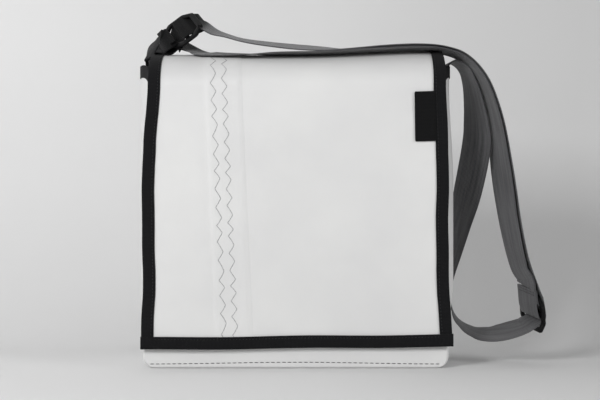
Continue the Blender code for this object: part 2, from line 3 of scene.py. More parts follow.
import bmesh
import bpy
import numpy as np
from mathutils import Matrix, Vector


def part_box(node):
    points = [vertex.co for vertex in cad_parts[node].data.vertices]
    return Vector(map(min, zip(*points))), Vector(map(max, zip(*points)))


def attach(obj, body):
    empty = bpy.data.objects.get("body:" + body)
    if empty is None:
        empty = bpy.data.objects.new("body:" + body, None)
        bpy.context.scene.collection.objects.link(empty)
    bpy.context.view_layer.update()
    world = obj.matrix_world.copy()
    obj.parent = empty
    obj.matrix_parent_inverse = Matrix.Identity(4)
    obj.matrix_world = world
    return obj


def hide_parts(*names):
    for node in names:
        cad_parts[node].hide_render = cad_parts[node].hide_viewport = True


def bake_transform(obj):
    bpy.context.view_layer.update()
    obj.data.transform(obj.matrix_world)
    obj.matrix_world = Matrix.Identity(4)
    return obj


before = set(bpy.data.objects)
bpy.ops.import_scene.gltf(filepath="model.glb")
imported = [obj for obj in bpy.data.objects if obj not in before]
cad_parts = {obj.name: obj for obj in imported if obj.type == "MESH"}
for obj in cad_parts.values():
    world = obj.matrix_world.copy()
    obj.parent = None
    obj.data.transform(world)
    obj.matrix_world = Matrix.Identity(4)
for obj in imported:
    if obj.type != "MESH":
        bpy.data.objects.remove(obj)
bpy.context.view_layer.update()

# ---------------------------------------------------------------- sizes, in metres

MM = 0.001
HALF_BODY = 0.160
HALF_DEPTH = 0.050
RIM_HEIGHT = 0.298
RIM_RISE = 0.024
CORNER = 0.012
PANEL = 0.0014
GUSSET_BULGE = 0.010
GUSSET_BULGE_START = 0.090
SEAM_ROUND = 0.0028
TOP_TAPER = 0.0045
TAPER_START = 0.150
BULGE_POWER = 2.4
RIGHT_DRAW = 0.0045
LEFT_SPREAD = 0.0024
SPREAD_ACROSS = (0.08, 0.155)
SPREAD_HEIGHT = (0.04, 0.13)
BILLOW = 0.0011
PUCKER = 0.00022
RIM_ROOM = 0.001
SEAM_ROOM = 0.0002

# The strip that makes both sides and the bottom, in shares of its run: rim, left corner's start
# and end, right corner's start and end, rim.
STRIP_TURNS = (0, 0.32, 0.40, 0.60, 0.68, 1)

CLOTH = 0.0005
FLAP_HALF_TOP = 0.1565
FLAP_FLARE = 0.0075
FLAP_FRONT = -0.0538
FLAP_BACK = 0.0538
FRONT_ROWS = 120
DOME_BASE = 0.2955
DOME_RISE = 0.038
FLAP_CREST = 0.334
FLAP_BOTTOM = 0.0215
SEWN_LENGTH = 0.030
LAP_TOP = -0.0945
LAP_SLANT = 0.0140
LAP_WIDTH = 0.035
LAP_JOGGLE = 0.006
LAP_SINK = 0.00058
LAP_SINK_WIDTH = 0.004
LAP_ROOM = 0.0002
LAP_START = 0.0003
PANEL_STEP = 0.0035

# How far each side edge of the flap bows out, in millimetres, at even steps down its front.
FLAP_BOW_LEFT = (0.4, 1.2, 3.0, 3.6, 3.3, 2.6, 1.4, 0.0, -0.7, 0.0, 0.0)
FLAP_BOW_RIGHT = (0.0, 0.3, 0.6, 0.7, -0.2, -1.4, -2.1, -2.4, -2.3, -1.4, 0.0)

TAPE = 0.0008
TAPE_REACH = 0.0119
TAPE_FOLD = 0.0011
TAPE_ROOM = 0.0003
BOTTOM_TAPE_SWELL = 1.9
END_ROOM = 0.0002
STITCH_PITCH = 0.0034
STITCH_RADIUS = 0.00023

LABEL_LEFT = 0.1237
LABEL_WIDTH = 0.0222
LABEL_TOP = 0.2912
LABEL_HEIGHT = 0.0525
LABEL_LENGTH = 0.053
LABEL_CORNER = 0.0012
LABEL_THICKNESS = 0.0009

LOOP_FACE = -0.0515
LOOP_DEPTH = 0.0002
HOOK_FACE = -0.0518
HOOK_DEPTH = -0.0012

STRAP_WIDTH = 0.047
STRAP_THICKNESS = 0.0012

# The three-bar buckles. LEVEL and SECOND are how far off a buckle's middle plane the first and
# the second layer of webbing lie, and BAR_TURN is how far past a bar's middle the webbing turns.
BUCKLE_WIDTH = 0.060
BUCKLE_LENGTH = 0.042
BUCKLE_THICKNESS = 0.0035
BUCKLE_CUT = 0.0115
BUCKLE_SOFT = 0.0022
BUCKLE_SQUARENESS = 0.42
SIDE_ARM = 0.0063
BAR = 0.006
BAR_PITCH = 0.018
BAR_TURN = 0.002
LEVEL = 0.0029
SECOND = 0.0044
BAR_ROOM = 0.00055
BUCKLE_END = 0.027

STATION_STEP = 0.0018
SEWN_LEFT = 0.1608
SEWN_RIGHT = 0.1590
SEWN_HEIGHTS = (0.235, 0.272, 0.298)
HALF_APART = (0.0012, 0.0012, 0.0021)
TAB_APART = 0.0018
# Painted shade on the webbing near the ring: full out to the first distance from the ring's middle
# and gone past the second. The third value is how much wider the webbing grows there.
RING_SHADE_FROM = 0.022
RING_SHADE_TO = 0.029
RING_SPREAD = 0.05
RING_CENTRE = np.array([-0.1248, -0.0015, 0.3615])
ADJUSTER_CENTRE = np.array([0.2563, -0.001, 0.0560])


# ---------------------------------------------------------------- camera and lamps

def build_camera():
    """Straight in front, as in the photograph: an 80 mm lens 1.45 m away."""
    data = bpy.data.cameras.new("camera")
    data.lens = 80
    data.sensor_width = 36
    camera = bpy.data.objects.new("camera", data)
    camera.location = (0.00315, -1.4545, 0.177)
    camera.rotation_euler = (math.radians(90), 0, 0)
    bpy.context.scene.collection.objects.link(camera)
    bpy.context.scene.camera = camera


def area_lamp(name, place, aim, size, power):
    """A square soft box that faces a point."""
    data = bpy.data.lights.new(name, "AREA")
    data.shape = "SQUARE"
    data.size = size
    data.energy = power
    lamp = bpy.data.objects.new(name, data)
    lamp.location = place
    direction = Vector(aim) - Vector(place)
    lamp.rotation_euler = direction.to_track_quat("-Z", "Y").to_euler()
    bpy.context.scene.collection.objects.link(lamp)


# ---------------------------------------------------------------- materials

def linear(hex_colour):
    """An sRGB hex colour as linear red, green, blue and alpha."""
    parts = np.array([int(hex_colour[k:k + 2], 16) for k in (1, 3, 5)]) / 255
    low, high = parts / 12.92, ((parts + 0.055) / 1.055) ** 2.4
    return (*np.where(parts <= 0.04045, low, high), 1)


def add(tree, kind, inputs=(), **settings):
    """Adds one node, with its settings, and with values or links for its sockets."""
    made = tree.nodes.new(kind)
    for name, value in settings.items():
        setattr(made, name, value)
    for socket, value in dict(inputs).items():
        if isinstance(value, bpy.types.NodeSocket):
            tree.links.new(value, made.inputs[socket])
        else:
            made.inputs[socket].default_value = value
    return made


def ramp(tree, factor, stops):
    """A colour ramp from (position, hex colour) stops."""
    made = add(tree, "ShaderNodeValToRGB", {"Fac": factor})
    band = made.color_ramp
    for end in (0, -1):
        band.elements[end].position = stops[end][0]
        band.elements[end].color = linear(stops[end][1])
    for position, colour in stops[1:-1]:
        band.elements.new(position).color = linear(colour)
    return made.outputs["Color"]


def surface(name, roughness, **sockets):
    """A material with its Principled shader, and that shader's constants."""
    made = bpy.data.materials.new(name)
    made.use_nodes = True
    shader = made.node_tree.nodes["Principled BSDF"]
    shader.inputs["Roughness"].default_value = roughness
    for socket, value in sockets.items():
        shader.inputs[socket.replace("_", " ")].default_value = value
    return made, made.node_tree, shader


def thread_map(tree, across_mm, along_mm):
    """Waves across and along the piece's own UV map, one for each thread spacing in millimetres."""
    flat = add(tree, "ShaderNodeUVMap", uv_map="cloth").outputs["UV"]
    waves = []
    for direction, spacing in (("X", across_mm), ("Y", along_mm)):
        inputs = {"Vector": flat, "Scale": math.pi / (10 * spacing * MM)}
        wave = add(tree, "ShaderNodeTexWave", inputs, bands_direction=direction)
        waves.append(wave.outputs["Fac"])
    return flat, waves


def noise(tree, place, scale, detail):
    """The grey value of a fractal noise at a place."""
    inputs = {"Vector": place, "Scale": scale, "Detail": detail}
    return add(tree, "ShaderNodeTexNoise", inputs).outputs["Fac"]


def remapped(tree, value, **ends):
    """A value carried from one range to another. The ends are named as the node's sockets."""
    inputs = {"Value": value} | {end.replace("_", " "): level for end, level in ends.items()}
    return add(tree, "ShaderNodeMapRange", inputs).outputs["Result"]


def paint(tree, shader, factor, *stops):
    """Gives the shader a base colour that a grey value picks from a ramp."""
    tree.links.new(ramp(tree, factor, stops), shader.inputs["Base Color"])


def relief(tree, shader, height, depth_mm):
    """Turns a height into a bump that is depth_mm deep."""
    bump = add(tree, "ShaderNodeBump", {"Height": height, "Distance": depth_mm * MM})
    tree.links.new(bump.outputs["Normal"], shader.inputs["Normal"])


def blend_values(tree, mode, first, second, factor=1.0):
    """Two grey values combined by a math operation, the second weighed by factor."""
    scaled = add(tree, "ShaderNodeMath", {0: second, 1: factor}, operation="MULTIPLY")
    return add(tree, "ShaderNodeMath", {0: first, 1: scaled.outputs[0]}, operation=mode).outputs[0]


def sailcloth():
    """Woven polyester sailcloth, resin coated: pale, even and slightly glossy, with a fine
    square weave. Its 0.4 mm threads are drawn 1.1 mm apart so that they show at all."""
    made, tree, shader = surface("sailcloth_woven_and_resin_coated", 0.48, IOR=1.5)
    flat, (warp, weft) = thread_map(tree, 1.1, 1.1)
    clouds = noise(tree, flat, 9, 3)
    paint(tree, shader, clouds, (0.3, "#CFCFCF"), (0.7, "#D7D7D6"))
    weave = blend_values(tree, "ADD", warp, weft)
    creases = noise(tree, flat, 26, 4)
    relief(tree, shader, blend_values(tree, "ADD", weave, creases, 9.0), 0.05)
    return made


def grosgrain(name="binding_tape_woven_grosgrain", dark="#0E0E0F", light="#18181A"):
    """Woven polyester grosgrain: black, with close ribs across the tape. The ribs are drawn
    1.4 mm apart, twice as coarse as real ones, so that they show."""
    made, tree, shader = surface(name, 0.80, Specular_IOR_Level=0.10, Sheen_Weight=0.04)
    _, (yarn, rib) = thread_map(tree, 2.3, 1.4)
    paint(tree, shader, rib, (0.1, dark), (0.9, light))
    relief(tree, shader, blend_values(tree, "ADD", rib, yarn, 0.25), 0.22)
    return made


def belt_webbing(name="webbing_woven_polyester", dark="#404042", light="#58585A", gloss=0.25):
    """Woven polyester belt webbing: smooth long ribs 2.1 mm apart, crossed by fine picks, with
    a soft sheen where the light grazes it and pale streaks along it where it is worn. Near the
    ring it is painted near black and made dull, as painted shade for the shade that falls there."""
    made, tree, shader = surface(name, 0.55)
    flat, (rib, pick) = thread_map(tree, 2.1, 1.5)
    drawn = add(tree, "ShaderNodeMapping", {"Vector": flat, "Scale": (1, 0.07, 1)})
    streaks = noise(tree, drawn.outputs["Vector"], 230, 3)
    worn = remapped(tree, streaks, From_Min=0.36, From_Max=0.64)
    tone = blend_values(tree, "ADD", worn, blend_values(tree, "MULTIPLY", rib, pick), 0.5)
    # Painted shade: near the ring the colour goes to near black and the gloss and sheen fall away,
    # standing in for the shade that falls there.
    ring_shade = add(tree, "ShaderNodeAttribute", attribute_name="ring_shade").outputs["Fac"]
    yarn = ramp(tree, tone, ((0.0, dark), (1.0, light)))
    inputs = {"Fac": ring_shade, "Color1": yarn, "Color2": linear("#0C0C0D")}
    colour = add(tree, "ShaderNodeMixRGB", inputs).outputs["Color"]
    tree.links.new(colour, shader.inputs["Base Color"])
    for socket, most in (("Specular IOR Level", gloss), ("Sheen Weight", gloss / 2)):
        tree.links.new(remapped(tree, ring_shade, To_Min=most, To_Max=0.03), shader.inputs[socket])
    relief(tree, shader, blend_values(tree, "ADD", rib, pick, 0.5), 0.16)
    return made


def moulded_plastic():
    """Injection-moulded acetal: black and softly glossy, with a fine spark-eroded grain."""
    made, tree, shader = surface("acetal_injection_moulded", 0.5, Specular_IOR_Level=0.12)
    place = add(tree, "ShaderNodeTexCoord").outputs["Object"]
    grain = noise(tree, place, 1400, 2)
    paint(tree, shader, grain, (0.3, "#0A0A0B"), (0.7, "#101011"))
    relief(tree, shader, grain, 0.06)
    return made


def sewing_thread(name, dark, light):
    """Bonded polyester sewing thread: twisted, with a paler ply every 2 mm, lightly waxed."""
    made, tree, shader = surface(name, 0.45)
    place = add(tree, "ShaderNodeTexCoord").outputs["Object"]
    inputs = {"Vector": place, "Scale": 300.0}
    twist = add(tree, "ShaderNodeTexWave", inputs, bands_direction="DIAGONAL")
    paint(tree, shader, twist.outputs["Fac"], (0.2, dark), (0.8, light))
    return made


def fastener_tape(name, grain_mm, depth_mm):
    """Nylon hook-and-loop tape: a dark pile that takes no highlight, in clumps grain_mm apart."""
    made, tree, shader = surface(name, 0.9, Sheen_Weight=0.3)
    flat = add(tree, "ShaderNodeUVMap", uv_map="cloth").outputs["UV"]
    inputs = {"Vector": flat, "Scale": 1 / (grain_mm * MM)}
    pile = add(tree, "ShaderNodeTexVoronoi", inputs).outputs["Distance"]
    paint(tree, shader, pile, (0.1, "#262627"), (0.8, "#101011"))
    relief(tree, shader, pile, depth_mm)
    return made


def paper_backdrop():
    """Seamless studio paper: plain, pale and matt, with a faint pulp mottle, and painted a
    little darker from left to right over the width that the camera sees, as painted shade for
    the light that falls off away from the left. A camera that looks at its back sees through
    it, so that the views from behind show the bag."""
    made, tree, shader = surface("studio_paper", 0.9)
    place = add(tree, "ShaderNodeTexCoord").outputs["Object"]
    pulp = noise(tree, place, 4, 2)
    # Painted shade: the paper grows darker from left to right, standing in for the light falling off
    # away from the lamps at the left.
    across = add(tree, "ShaderNodeSeparateXYZ", {"Vector": place}).outputs["X"]
    from_left = remapped(tree, across, From_Min=-0.35, From_Max=0.42)
    painted_fall_off = blend_values(tree, "ADD", from_left, pulp, 0.1)
    paint(tree, shader, painted_fall_off, (0.0, "#DEDEDE"), (0.55, "#DADADA"), (1.0, "#C8C8C8"))
    behind = add(tree, "ShaderNodeNewGeometry").outputs["Backfacing"]
    seen = add(tree, "ShaderNodeLightPath").outputs["Is Camera Ray"]
    clear = add(tree, "ShaderNodeBsdfTransparent").outputs["BSDF"]
    open_back = blend_values(tree, "MULTIPLY", behind, seen)
    inputs = {"Fac": open_back, 1: shader.outputs["BSDF"], 2: clear}
    either = add(tree, "ShaderNodeMixShader", inputs).outputs["Shader"]
    tree.links.new(either, tree.nodes["Material Output"].inputs["Surface"])
    return made


# ---------------------------------------------------------------- meshes from arrays

def grid_faces(rows, columns, wrap=False):
    """Quads between the neighbouring rows and columns of a grid of points."""
    r = np.arange(rows - 1)[:, None]
    c = np.arange(columns if wrap else columns - 1)[None, :]
    a, b = r * columns + c, r * columns + (c + 1) % columns
    return np.stack([a, b, b + columns, a + columns], -1).reshape(-1, 4)


def finish_mesh(name, points, faces, flat, finish, sharp=38):
    """An object from arrays: outward faces, its flat map in metres, smooth with sharp edges kept."""
    mesh = bpy.data.meshes.new(name)
    corners_of = [tuple(map(int, face)) for face in faces]
    mesh.from_pydata(np.asarray(points, float).reshape(-1, 3), [], corners_of)
    shape = bmesh.new()
    shape.from_mesh(mesh)
    bmesh.ops.recalc_face_normals(shape, faces=shape.faces)
    shape.to_mesh(mesh)
    shape.free()
    corners = np.zeros(len(mesh.loops), np.int32)
    mesh.loops.foreach_get("vertex_index", corners)
    layer = mesh.uv_layers.new(name="cloth")
    layer.data.foreach_set("uv", np.asarray(flat, np.float32).reshape(-1, 2)[corners].ravel())
    mesh.materials.append(finish)
    mesh.shade_smooth()
    mesh.set_sharp_from_angle(angle=math.radians(sharp))
    made = bpy.data.objects.new(name, mesh)
    bpy.context.scene.collection.objects.link(made)
    return made


def tube_faces(rows, columns, closed=False):
    """The faces of a tube: its quads, and either the ring that closes it or its two caps."""
    faces = list(grid_faces(rows, columns, wrap=True))
    last, c = (rows - 1) * columns, np.arange(columns)
    if closed:
        ahead = (c + 1) % columns
        return faces + list(np.stack([last + c, last + ahead, ahead, c], -1))
    return faces + [c, last + c]


def slab(name, outer, inner, flat, finish):
    """A sheet with thickness: an outer and an inner grid of points, joined round their border.
    Both grids share one flat map."""
    rows, columns = outer.shape[:2]
    count = rows * columns
    front = grid_faces(rows, columns)
    number = np.arange(count).reshape(rows, columns)
    border = np.concatenate([number[0, :-1], number[:-1, -1], number[-1, :0:-1], number[:0:-1, 0]])
    after = np.roll(border, -1)
    sides = np.stack([after, border, border + count, after + count], -1)
    faces = np.concatenate([front, front[:, ::-1] + count, sides])
    points = np.concatenate([outer.reshape(-1, 3), inner.reshape(-1, 3)])
    flats = np.concatenate([flat.reshape(-1, 2)] * 2)
    return finish_mesh(name, points, faces, flats, finish)


def tube(name, points, flat, finish, closed=False, sharp=38):
    """A closed section carried along a path: rows are stations, columns go round the section.
    A closed path comes back to its first station, an open one has a cap at each end."""
    return finish_mesh(name, points, tube_faces(*points.shape[:2], closed), flat, finish, sharp)


def stretched(count, low, high):
    """A number of values at even steps from low to high."""
    return np.linspace(low, high, count)


def paired(first, second):
    """Two arrays spread to one shape and paired, such as the two values of a flat map."""
    return np.stack(np.broadcast_arrays(first, second), -1)


def travelled(path):
    """The distance along a path of points, from its first point to each of them."""
    steps = np.linalg.norm(np.diff(path, axis=0), axis=1)
    return np.concatenate([[0], np.cumsum(steps)])


def soft_step(value, low, high):
    """0 below low, 1 above high, and a smooth rise between them."""
    t = np.clip((value - low) / (high - low), 0, 1)
    return t * t * (3 - 2 * t)


def unit(vectors):
    """The same directions at length 1."""
    return vectors / np.linalg.norm(vectors, axis=-1, keepdims=True)


def rounded_edge(distance, radius):
    """How far a surface falls back near its edge when the edge is a quarter circle."""
    inside = np.clip(radius - distance, 0, radius)
    return radius - np.sqrt(radius ** 2 - inside ** 2)


def stitches(name, starts, ends, faces_out, radius, finish):
    """Short sewn stitches: each one a thin tapered bar from start to end that rises in an arc
    off the cloth, six points round and five along."""
    share = np.array([0, 0.2, 0.5, 0.8, 1])
    swell = np.array([0.35, 0.9, 1, 0.9, 0.35])
    rows, columns = len(share), 6
    angle = np.arange(columns) / columns * 2 * math.pi
    along = unit(ends - starts)
    side = unit(np.cross(along, faces_out))
    middle = starts[:, None] + (ends - starts)[:, None] * share[None, :, None]
    middle = middle + faces_out[:, None] * (swell * radius * 0.8)[None, :, None]
    ring = (side[:, None, None] * np.cos(angle)[None, None, :, None]
            + faces_out[:, None, None] * np.sin(angle)[None, None, :, None])
    points = middle[:, :, None] + ring * (swell * radius)[None, :, None, None]
    one = tube_faces(rows, columns)
    faces = [face + rows * columns * k for k in range(len(starts)) for face in one]
    flat = np.zeros((len(starts) * rows * columns, 2))
    return finish_mesh(name, points, faces, flat, finish, sharp=60)


def evenly(path, pitch, fill=0.56):
    """Starts and ends of stitches at an even pitch along a path of points. Fill is the part of
    each pitch that the stitch takes up."""
    length = travelled(path)
    count = max(1, int(length[-1] / pitch))
    first = (np.arange(count) + (1 - fill) / 2) * length[-1] / count
    last = first + fill * length[-1] / count
    return tuple(np.stack([np.interp(at, length, path[:, k]) for k in range(3)], -1)
                 for at in (first, last))


# ---------------------------------------------------------------- body of the bag

def taper(height):
    """How far the body draws in under the flap, toward its mouth."""
    return TOP_TAPER * soft_step(height, TAPER_START, RIM_HEIGHT)


def gusset_bulge(height):
    """How far a side stands out from its seams at mid depth."""
    return GUSSET_BULGE * soft_step(height, 0, GUSSET_BULGE_START) + taper(height)


def crown(depth):
    """1 at mid depth, falling to 0 at the front and back seams as a parabola."""
    return 1 - (depth / HALF_DEPTH) ** 2


def rim_height(depth):
    """The mouth's edge: level at mid depth and falling fast near the seams, as a fourth power."""
    return RIM_HEIGHT + RIM_RISE * (1 - (depth / HALF_DEPTH) ** 4)


def body_edge(height):
    """Half the body's width at a height: drawn in at the top, full lower down, then round the
    bottom corner as a quarter circle."""
    below = np.clip(CORNER - height, 0, CORNER)
    return HALF_BODY - taper(height) - CORNER + np.sqrt(CORNER ** 2 - below ** 2)


def left_spread(across, height):
    """How far the body's lower left corner stands out beyond the other three."""
    return LEFT_SPREAD * soft_step(-across, *SPREAD_ACROSS) * (1 - soft_step(height, *SPREAD_HEIGHT))


def face_point(side, across, height, inset):
    """A place on the front (side -1) or back panel: flat, with a shallow billow that is half a
    sine up the panel and a cosine across it, fine sine puckers along the bottom seam, and
    turned in round its side and bottom seams."""
    across, height = np.broadcast_arrays(across, height)
    edge = np.minimum(body_edge(height) - np.abs(across), height + 2 * SEAM_ROOM)
    billow = BILLOW * np.sin(math.pi * np.clip(height / RIM_HEIGHT, 0, 1)) * np.cos(across * 9)
    pucker = PUCKER * np.sin(across * 620) * np.exp(-(height / 0.007) ** 2)
    out = HALF_DEPTH + billow + pucker - rounded_edge(np.clip(edge, 0, 1), SEAM_ROUND) - inset
    return np.stack([across - left_spread(across, height), side * out, height], -1)


def crowded(count, share):
    """Values from -1 to 1, crowded toward both ends: a share of a sine and the rest even."""
    wave = np.sin(stretched(count, -math.pi / 2, math.pi / 2))
    return share * wave + (1 - share) * stretched(count, -1, 1)


def build_face_panel(name, side, node, finish):
    """The front or back panel, with its points crowded toward its seams."""
    heights = np.concatenate([CORNER * (1 - np.cos(stretched(12, 0, math.pi / 2))),
                              stretched(60, CORNER, RIM_HEIGHT - RIM_ROOM)[1:]])[:, None]
    across = crowded(97, 0.35) * body_edge(heights)
    outer, inner = (face_point(side, across, heights, inset) for inset in (0, PANEL))
    made = slab(name, outer, inner, paired(across, heights), finish)
    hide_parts(node)
    return made


def gusset_point(share, depth, inset):
    """A place on the one strip that makes both sides and the bottom. Share runs from the left
    rim (0) down, round both bottom corners, and up to the right rim (1). Across the depth the
    sides bulge as a power of a parabola, and both long edges turn in to the seams."""
    share, depth = np.broadcast_arrays(share, depth)
    side = np.where(share < 0.5, -1.0, 1.0)
    run = 0.5 - np.abs(share - 0.5)
    down, turn = STRIP_TURNS[1:3]
    fall = np.clip(run / down, 0, 1)
    height = CORNER + (rim_height(depth) - RIM_ROOM - CORNER) * (1 - fall)
    angle = np.clip((run - down) / (turn - down), 0, 1) * math.pi / 2
    reach = HALF_BODY - taper(height) + gusset_bulge(height) * crown(depth) ** BULGE_POWER
    reach = reach - right_draw(side, height) * crown(depth) ** BULGE_POWER
    seam = rounded_edge(np.clip(HALF_DEPTH - SEAM_ROOM - np.abs(depth), 0, 1), SEAM_ROUND) + inset
    corner = CORNER - seam
    level = np.clip((run - turn) / (0.5 - turn), 0, 1)
    across = np.where(run <= down, reach - seam, HALF_BODY - CORNER + corner * np.cos(angle))
    across = np.where(run > turn, (HALF_BODY - CORNER) * (1 - level), across)
    height = np.where(run > down, CORNER - corner * np.sin(angle), height)
    height = np.where(run > turn, seam, height)
    across = side * across
    return np.stack([across - left_spread(across, height), depth, height], -1)


def build_gusset(finish):
    """The strip that makes both sides and the bottom, measured for its flat map down its middle."""
    counts = (50, 12, 21, 12, 50)
    runs = [stretched(*run) for run in zip(counts, STRIP_TURNS, STRIP_TURNS[1:])]
    share = np.concatenate([runs[0], *(run[1:] for run in runs[1:])])[:, None]
    depth = crowded(33, 0.3) * (HALF_DEPTH - SEAM_ROOM)
    outer, inner = (gusset_point(share, depth, inset) for inset in (0, PANEL))
    flat = paired(depth, travelled(outer[:, len(depth) // 2])[:, None])
    made = slab("body_side_and_bottom_strip", outer, inner, flat, finish)
    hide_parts("left_gusset", "right_gusset", "bottom_panel")
    return made


def right_draw(side, height):
    """How much less the right side bulges than the left, toward the mouth."""
    return RIGHT_DRAW * soft_step(height, 0.20, RIM_HEIGHT) * (side > 0)


def half_rim(side):
    """Half of the mouth seen from above, front edge and one side, as if it were the right one."""
    quarter, count = stretched(9, 0, math.pi / 2), 44
    middle, turn = HALF_DEPTH - PANEL / 2, 0.006
    side_y = stretched(count, -(middle - turn), middle - turn)
    bulge = (gusset_bulge(RIM_HEIGHT) - right_draw(side, RIM_HEIGHT)) * crown(side_y) ** BULGE_POWER
    side_x = HALF_BODY - TOP_TAPER - PANEL / 2 + bulge
    start = side_x[0] - turn
    corner = np.stack([start + turn * np.sin(quarter), -(middle - turn) - turn * np.cos(quarter)], -1)
    front = np.stack([stretched(count, -start, start), np.full(count, -middle)], -1)
    right = np.stack([side_x, side_y], -1)
    return np.concatenate([front[:-1], corner[:-1], right[:-1], corner[::-1][:-1] * [1, -1]])


def rim_path():
    """The mouth seen from above: straight front and back, small round corners, bowed sides."""
    return np.concatenate([half_rim(1), -half_rim(-1)])


def folded_section(half_cloth):
    """Tape folded over an edge, in section: (past the edge, off the cloth), and the distance
    across the tape. Two legs joined by a half circle, and the same again inside."""
    arc = stretched(8, math.pi / 2, -math.pi / 2)
    legs = -TAPE_REACH * np.array([1, 0.66, 0.33])
    loops = []
    for radius in (half_cloth + TAPE, half_cloth):
        over = np.stack([legs, np.full(3, radius)], -1)
        round_edge = np.stack([radius * np.cos(arc), radius * np.sin(arc)], -1)
        under = np.stack([legs[::-1], np.full(3, -radius)], -1)
        loops.append(np.concatenate([over, round_edge, under]))
    section = np.concatenate([loops[0], loops[1][::-1]])
    across = travelled(loops[0])
    return section, np.concatenate([across, across[::-1]])


def build_rim_tape(finish):
    """Tape folded over the mouth's edge, all round."""
    path = rim_path()
    ahead = np.roll(path, -1, axis=0) - np.roll(path, 1, axis=0)
    outward = unit(np.stack([ahead[:, 1], -ahead[:, 0]], -1))
    section, across = folded_section(PANEL / 2 + SEAM_ROOM)
    edge = rim_height(path[:, 1]) - RIM_ROOM
    points = np.zeros((len(path), len(section), 3))
    points[..., :2] = path[:, None] + outward[:, None] * section[None, :, 1:]
    points[..., 2] = edge[:, None] + section[None, :, 0]
    length = np.cumsum(np.linalg.norm(ahead, axis=1) / 2)
    made = tube("mouth_binding", points, paired(across, length[:, None]), finish, closed=True)
    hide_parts("front_rim_tape", "back_rim_tape", "left_rim_tape", "right_rim_tape")
    return made


def seam_stitches(finish):
    """A row of topstitching along the bottom of the front and the back panel, 5 mm above the
    seam, with a slight cosine wave."""
    above, wave, pitch, fill, radius = 0.0052, 0.0009, 0.0057, 0.72, 0.00038
    pieces = []
    for side, word in ((-1, "front"), (1, "back")):
        across = stretched(300, -HALF_BODY + 0.007, HALF_BODY - 0.009)
        path = face_point(side, across, above + wave * np.cos(across * 20), 0)
        starts, ends = evenly(path, pitch, fill)
        outs = np.tile([0.0, side, 0.0], (len(starts), 1))
        pieces.append(stitches(f"topstitch_{word}_bottom", starts, ends, outs, radius, finish))
    return pieces


# ---------------------------------------------------------------- flap

def flap_line():
    """The flap from the side: up the back, over a half ellipse, and down the front, with the
    distance along it from the sewn end. It runs a little past both ends of the cloth."""
    spare = 0.01
    rise = stretched(16, DOME_BASE - SEWN_LENGTH - spare, DOME_BASE)[:-1]
    angle = stretched(161, 0, math.pi)
    drop = stretched(FRONT_ROWS, DOME_BASE, FLAP_BOTTOM - 2 * spare)[1:]
    back, front = np.full_like(rise, FLAP_BACK), np.full_like(drop, FLAP_FRONT)
    y = np.concatenate([back, FLAP_BACK * np.cos(angle), front])
    z = np.concatenate([rise, DOME_BASE + DOME_RISE * np.sin(angle), drop])
    length = np.concatenate([[0], np.cumsum(np.hypot(np.diff(y), np.diff(z)))])
    return y, z, length - spare


LINE_Y, LINE_Z, LINE_S = flap_line()
CREST_S = float(np.interp(0, -LINE_Y, LINE_S))
FRONT_S = float(LINE_S[-FRONT_ROWS])
TANGENT_Y, TANGENT_Z = np.gradient(LINE_Y, LINE_S), np.gradient(LINE_Z, LINE_S)


def flap_relief(across, along):
    """How far the cloth stands off its plain line: a crest that rises to the right, three long
    soft sine waves down the front, and a slight outward curl at the bottom."""
    on_dome = np.exp(-((along - CREST_S) / 0.045) ** 2)
    front = soft_step(along, FRONT_S - 0.01, FRONT_S + 0.05)
    crest = 0.0012 + 0.0033 * soft_step(across, 0.03, 0.14) - 0.0010 * np.exp(-(across / 0.05) ** 2)
    waves = (0.00045 * np.sin(across * 21 + along * 6 + 0.7)
             + 0.0003 * np.sin(across * 47 - along * 11)
             + 0.0003 * np.sin(along * 33 + across * 9 + 2.1))
    curl = 0.0012 * soft_step(along, FRONT_S + 0.22, FRONT_S + 0.28)
    return on_dome * crest + front * (waves + 0.0006) + curl


def flap_point(across, along, lift):
    """A place on the flap: across in metres, distance along its line, lift off its middle."""
    across, along, lift = np.broadcast_arrays(across, along, lift)
    ty, tz = np.interp(along, LINE_S, TANGENT_Y), np.interp(along, LINE_S, TANGENT_Z)
    size = np.hypot(ty, tz)
    off = lift + flap_relief(across, along)
    y = np.interp(along, LINE_S, LINE_Y) + tz / size * off
    z = np.interp(along, LINE_S, LINE_Z) - ty / size * off
    return np.stack([across, y, z], -1)


def flap_height(along):
    """The height of the flap's plain line at a distance along it."""
    return np.interp(along, LINE_S, LINE_Z)


def flap_edge(side, along):
    """Half the flap's width: even over the top and wider toward the bottom. Down the front each
    side also bows by its own table."""
    share = np.clip((DOME_BASE - flap_height(along)) / (DOME_BASE - FLAP_BOTTOM), 0, 1.1)
    front = soft_step(along, FRONT_S - 0.02, FRONT_S)
    bows = FLAP_BOW_RIGHT if side > 0 else FLAP_BOW_LEFT
    bow = np.interp(np.clip(share, 0, 1), stretched(len(bows), 0, 1), bows) * MM * front
    return FLAP_HALF_TOP + FLAP_FLARE * share * np.where(along > CREST_S, 1, 0.9) + bow


def flap_end(across):
    """Distance along the flap at which its cloth ends: a wavy bottom edge, higher at the right."""
    bottom = FLAP_BOTTOM + 0.0016 * (across / 0.164) + 0.0005 * np.sin(across * 38 + 1.3)
    return FRONT_S + DOME_BASE - (bottom + TAPE_FOLD)


def lap_edge(along):
    """Where the lapped seam starts, across the flap: it slants as it comes down."""
    share = (FLAP_CREST - flap_height(along)) / (FLAP_CREST - FLAP_BOTTOM)
    return LAP_TOP + LAP_SLANT * share


